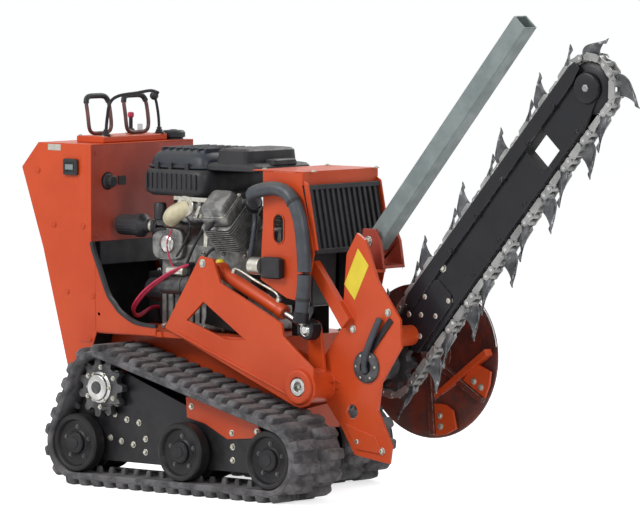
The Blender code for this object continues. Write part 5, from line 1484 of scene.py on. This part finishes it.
plate_y = -0.140
sign = side_outline((1.036, 0.822), (1.083, 0.768), (1.022, 0.652), (0.977, 0.702))
swing_bolts = [at(x, plate_y, z) for x, z in ((1.165, 0.620), (1.015, 0.560), (1.035, 0.195), (1.140, 0.170))]
slot_bar = side_outline((1.188, 0.592), (1.172, 0.604), (1.082, 0.496), (1.098, 0.484))
foot_step = side_outline((0.985, 0.250), (1.115, 0.215), (1.150, 0.160), (1.030, 0.170))
cap_ring = [np.array([HEAD[0] + 0.040 * math.cos(a), plate_y, HEAD[2] + 0.040 * math.sin(a)])
            for a in np.arange(6) * math.tau / 6]
bearing = turned([(0.0226, plate_y + 0.001), (0.0226, plate_y - 0.010), (0.034, plate_y - 0.012),
                  (0.052, plate_y - 0.008), (0.054, plate_y + 0.001)], HEAD * np.array([1, 0, 1]))
dark_brace = carried(round_section(0.011, 18),
                     smooth_line([at(1.140, -0.152, 0.600), at(1.100, -0.156, 0.520),
                                  at(1.075, -0.154, 0.460), at(1.075, -0.150, 0.420)], 0.01))
hub_ring = turned([(0.056, -0.2374), (0.0595, -0.2360), (0.0595, -0.2210), (0.056, -0.2195)], pin)
parts = [(plate(sign, plate_y - 0.0022, plate_y + 0.001), YELLOW), (bearing, IRON), (dark_brace, HOSE_RUBBER),
         (plate(slot_bar, plate_y - 0.006, plate_y + 0.001), BLACK_ENAMEL),
         (plate(foot_step, plate_y - 0.005, plate_y + 0.001), ENAMEL),
         (bolts(np.array(swing_bolts), (0, -1, 0), 0.009, 0.008), ZINC), (hub_ring, ENAMEL),
         (bolts(np.array(cap_ring), (0, -1, 0), 0.005, 0.012), ZINC)]
eased("swing_frame", 0.0022, ENAMEL, parts)
print("gusset and swing frame done")

# %% Lift cylinder
slide = np.array(JOINT["rod_slide"]["axis"], float)
slide /= np.linalg.norm(slide)
start = pivot("barrel_tilt")
lever_pin = PIVOT + np.array([-0.012, 0.0, 0.185])
reach = float(np.linalg.norm((lever_pin - start) * np.array([1, 0, 1])))
if slide @ (lever_pin - start) < 0:
    slide = -slide
barrel_profile = [(0, 0.0), (0.018, 0.002), (0.0218, 0.012), (0.0218, 0.284), (0.0240, 0.287),
                  (0.0245, 0.296), (0.0245, 0.312), (0.0225, 0.3148), (0.0125, 0.3148), (0.0125, 0.042),
                  (0, 0.042)]
barrel = moved(turned(barrel_profile, (0, 0, 0), "Z", 40), facing(slide), start)
low, high = corners("lift_cylinder_barrel")
boss = turned([(0.0126, low[1] + 0.0002), (0.025, low[1] + 0.0002), (0.027, low[1] + 0.002),
               (0.027, high[1] - 0.002), (0.025, high[1] - 0.0002), (0.0126, high[1] - 0.0002)],
              start * np.array([1, 0, 1]), sides=36)
port = turned([(0, 0.015), (0.009, 0.015), (0.009, 0.034), (0.006, 0.036), (0, 0.036)], (0, 0, 0), "Z", 6)
upright = np.array([-slide[2], 0, slide[0]])
upright = upright if upright[2] > 0 else -upright
ports = [moved(port, facing(upright), start + slide * s) for s in (0.055, 0.270)]
oil_line = smooth_line([start + slide * 0.270 + upright * 0.034, start + slide * 0.245 + upright * 0.044,
                        start + slide * 0.150 + upright * 0.040, start + slide * 0.080 + upright * 0.040,
                        start + slide * 0.055 + upright * 0.034], 0.006)
oil_tube = carried(round_section(0.0045, 12), oil_line, up=(0.0, 1.0, 0.0))
piece("lift_barrel_turned", [(barrel, ENAMEL), (boss, ENAMEL)] + [(one, ZINC) for one in ports + [oil_tube]],
      BODY_OF["lift_cylinder_barrel"], ("lift_cylinder_barrel",))
rod_profile = [(0, 0.068), (0.0105, 0.0685), (0.0118, 0.071), (0.0118, reach - 0.0165), (0, reach - 0.0165)]
piece("lift_rod_turned", [(moved(turned(rod_profile, (0, 0, 0), "Z", 36), facing(slide), start), STEEL)],
      BODY_OF["lift_cylinder_rod"], ("lift_cylinder_rod",))
low, high = corners("rod_end_block")
middle = (low + high) / 2
eye = turned([(0, low[1] - 0.010), (0.013, low[1] - 0.010), (0.015, low[1] - 0.007), (0.015, low[1] - 0.002),
              (0.022, low[1] - 0.001), (0.022, low[1] + 0.001), (0, low[1] + 0.001)],
             np.array([middle[0], 0, middle[2]]), sides=36)
eased("rod_end_block", 0.004, BLACK_ENAMEL, [(eye, STEEL)])
print("lift cylinder done, reach", round(reach, 3))

# %% [markdown]
# The restraint bar is a square grey tube on a hinge. At the boom's foot the head shaft drives the
# chain and turns the soil auger, a single steel flight that climbs once round its sleeve:
# at turn t its height is pitch * t, and its plate runs straight out from the sleeve to the rim.

# %% Restraint bar, head shaft and auger
foot = pivot("restraint_bar_fold")
eased("restraint_bar", 0.004, GREY_ENAMEL)
eased("bar_bracket", 0.002, DARK_ENAMEL,
      [(bolts(np.array([foot * [1, 0, 1] + [0, corners("bar_bracket")[0][1], 0]]), (0, -1, 0), 0.012, 0.009),
        ZINC)])
eased("headshaft", 0.0015, IRON)
eased("chain_drive_motor", 0.002, IRON)

low, high = corners("soil_auger")
head = HEAD * np.array([1, 0, 1])
rim = 0.2545
steps = 150
angle = np.linspace(0, math.tau * 1.1, steps)
turn = angle + math.radians(54)
climb = low[1] + 0.004 + (high[1] - low[1] - 0.016) * angle / angle[-1]
across = np.array([0.046, 0.100, 0.160, 0.215, rim - 0.006, rim, rim, rim - 0.006, 0.215, 0.160, 0.100,
                   0.046])
thick = np.array([0.0, 0.0, 0.0, 0.0, 0.0, 0.002, 0.006, 0.008, 0.008, 0.008, 0.008, 0.008])
flight_points = np.stack([head[0] + across * np.cos(turn)[:, None], climb[:, None] + thick,
                          head[2] + across * np.sin(turn)[:, None]], -1)
points, faces = grid(flight_points, False, True)
faces += [list(range(len(across))), list(range(len(points) - len(across), len(points)))[::-1]]
flight = tidy(points, faces)
sleeve = turned([(0.0225, low[1]), (0.046, low[1]), (0.0515, low[1] + 0.004), (0.0515, high[1] - 0.004),
                 (0.046, high[1]), (0.0225, high[1])], head, sides=48)
parts = [(flight, AUGER_ENAMEL), (sleeve, AUGER_ENAMEL)]
for share in (0.30, 0.56, 0.70):
    step = int(share * (steps - 1))
    a, y = turn[step], climb[step]
    spoke = np.array([math.cos(a), 0, math.sin(a)])
    tangent = np.array([-math.sin(a), 0, math.cos(a)])
    corner_list = [spoke * r + tangent * t for r, t in ((0.050, -0.010), (rim - 0.012, -0.010),
                                                        (rim - 0.012, 0.010), (0.050, 0.010))]
    bar_outline = [(head + c)[[0, 2]] for c in corner_list]
    parts.append((plate(bar_outline, y - 0.016, y + 0.002), AUGER_ENAMEL))
    scoop = [spoke * r + tangent * t for r, t in ((0.140, 0.012), (rim - 0.008, 0.012), (rim - 0.014, 0.060),
                                                 (rim - 0.030, 0.100), (0.165, 0.090), (0.145, 0.060))]
    parts.append((plate([(head + c)[[0, 2]] for c in scoop], y - 0.010, y - 0.001), ENAMEL))
    parts.append((bolts(np.array([head * [1, 0, 1] + spoke * r + tangent * 0.035 + np.array([0, y - 0.010, 0])
                                  for r in (0.180, 0.215)]), (0, -1, 0), 0.008, 0.007), ZINC))
# A bright steel strip along the last arc of the flight's rim, at its top right: worn bare steel, and partly a
# painted highlight where the rim catches the light.
last = slice(steps - 30, steps - 1)
rim_line = np.stack([head[0] + (rim - 0.0035) * np.cos(turn[last]), climb[last] - 0.0005,
                     head[2] + (rim - 0.0035) * np.sin(turn[last])], -1)
parts.append((carried([(-0.0035, -0.003), (0.0035, -0.003), (0.0035, 0.002), (-0.0035, 0.002)], rim_line,
                      up=(0.0, 1.0, 0.0)), STEEL))
scraper = [(head + np.array([x, 0, z]))[[0, 2]] for x, z in ((0.000, -0.118), (0.008, -0.134), (0.238, 0.030),
                                                             (0.230, 0.050))]
parts.append((plate(scraper, low[1] + 0.095, low[1] + 0.130), ENAMEL))
piece("soil_auger_flight", parts, BODY_OF["soil_auger"], ("soil_auger",), bevel=0.001)

low, high = corners("nose_roller")
roller_profile = [(0.0144, low[1]), (0.070, low[1]), (0.074, low[1] + 0.002), (0.083, low[1] + 0.006),
                  (0.0848, low[1] + 0.009), (0.0848, high[1] - 0.009), (0.083, high[1] - 0.006),
                  (0.074, high[1] - 0.002), (0.070, high[1]), (0.0144, high[1])]
piece("nose_roller_turned", [(turned(roller_profile, NOSE * np.array([1, 0, 1]), sides=64), BLACK_ENAMEL)],
      BODY_OF["nose_roller"], ("nose_roller",))
print("boom tools done")

# %% [markdown]
# Between each track's wheels, an orange strut of the chassis shows in front of the side frame.

# %% Track struts
for side, outward in (("near", -1.0), ("far", 1.0)):
    strut = side_outline((0.455, 0.318), (0.520, 0.316), (0.770, 0.252), (0.800, 0.205), (0.640, 0.190),
                         (0.540, 0.235), (0.460, 0.250))
    if side == "far":
        shift = pivot("mid_roller_far_spin")[0] - pivot("mid_roller_near_spin")[0]
        strut = [spot + np.array([shift, 0.0]) for spot in strut]
    low_y, high_y = sorted((outward * 0.3295, outward * 0.3345))
    knobs = np.array([(strut[i][0] + dx, outward * 0.3345, strut[i][1] + dz)
                      for i, dx, dz in ((0, 0.025, -0.030), (2, 0.000, -0.028), (4, 0.020, 0.022))])
    piece(f"track_strut_{side}", [(plate(strut, low_y, high_y), ENAMEL),
                                  (bolts(knobs, (0, outward, 0), 0.0075, 0.007), ZINC)], "root", (),
          bevel=0.0012)
print("track struts done")
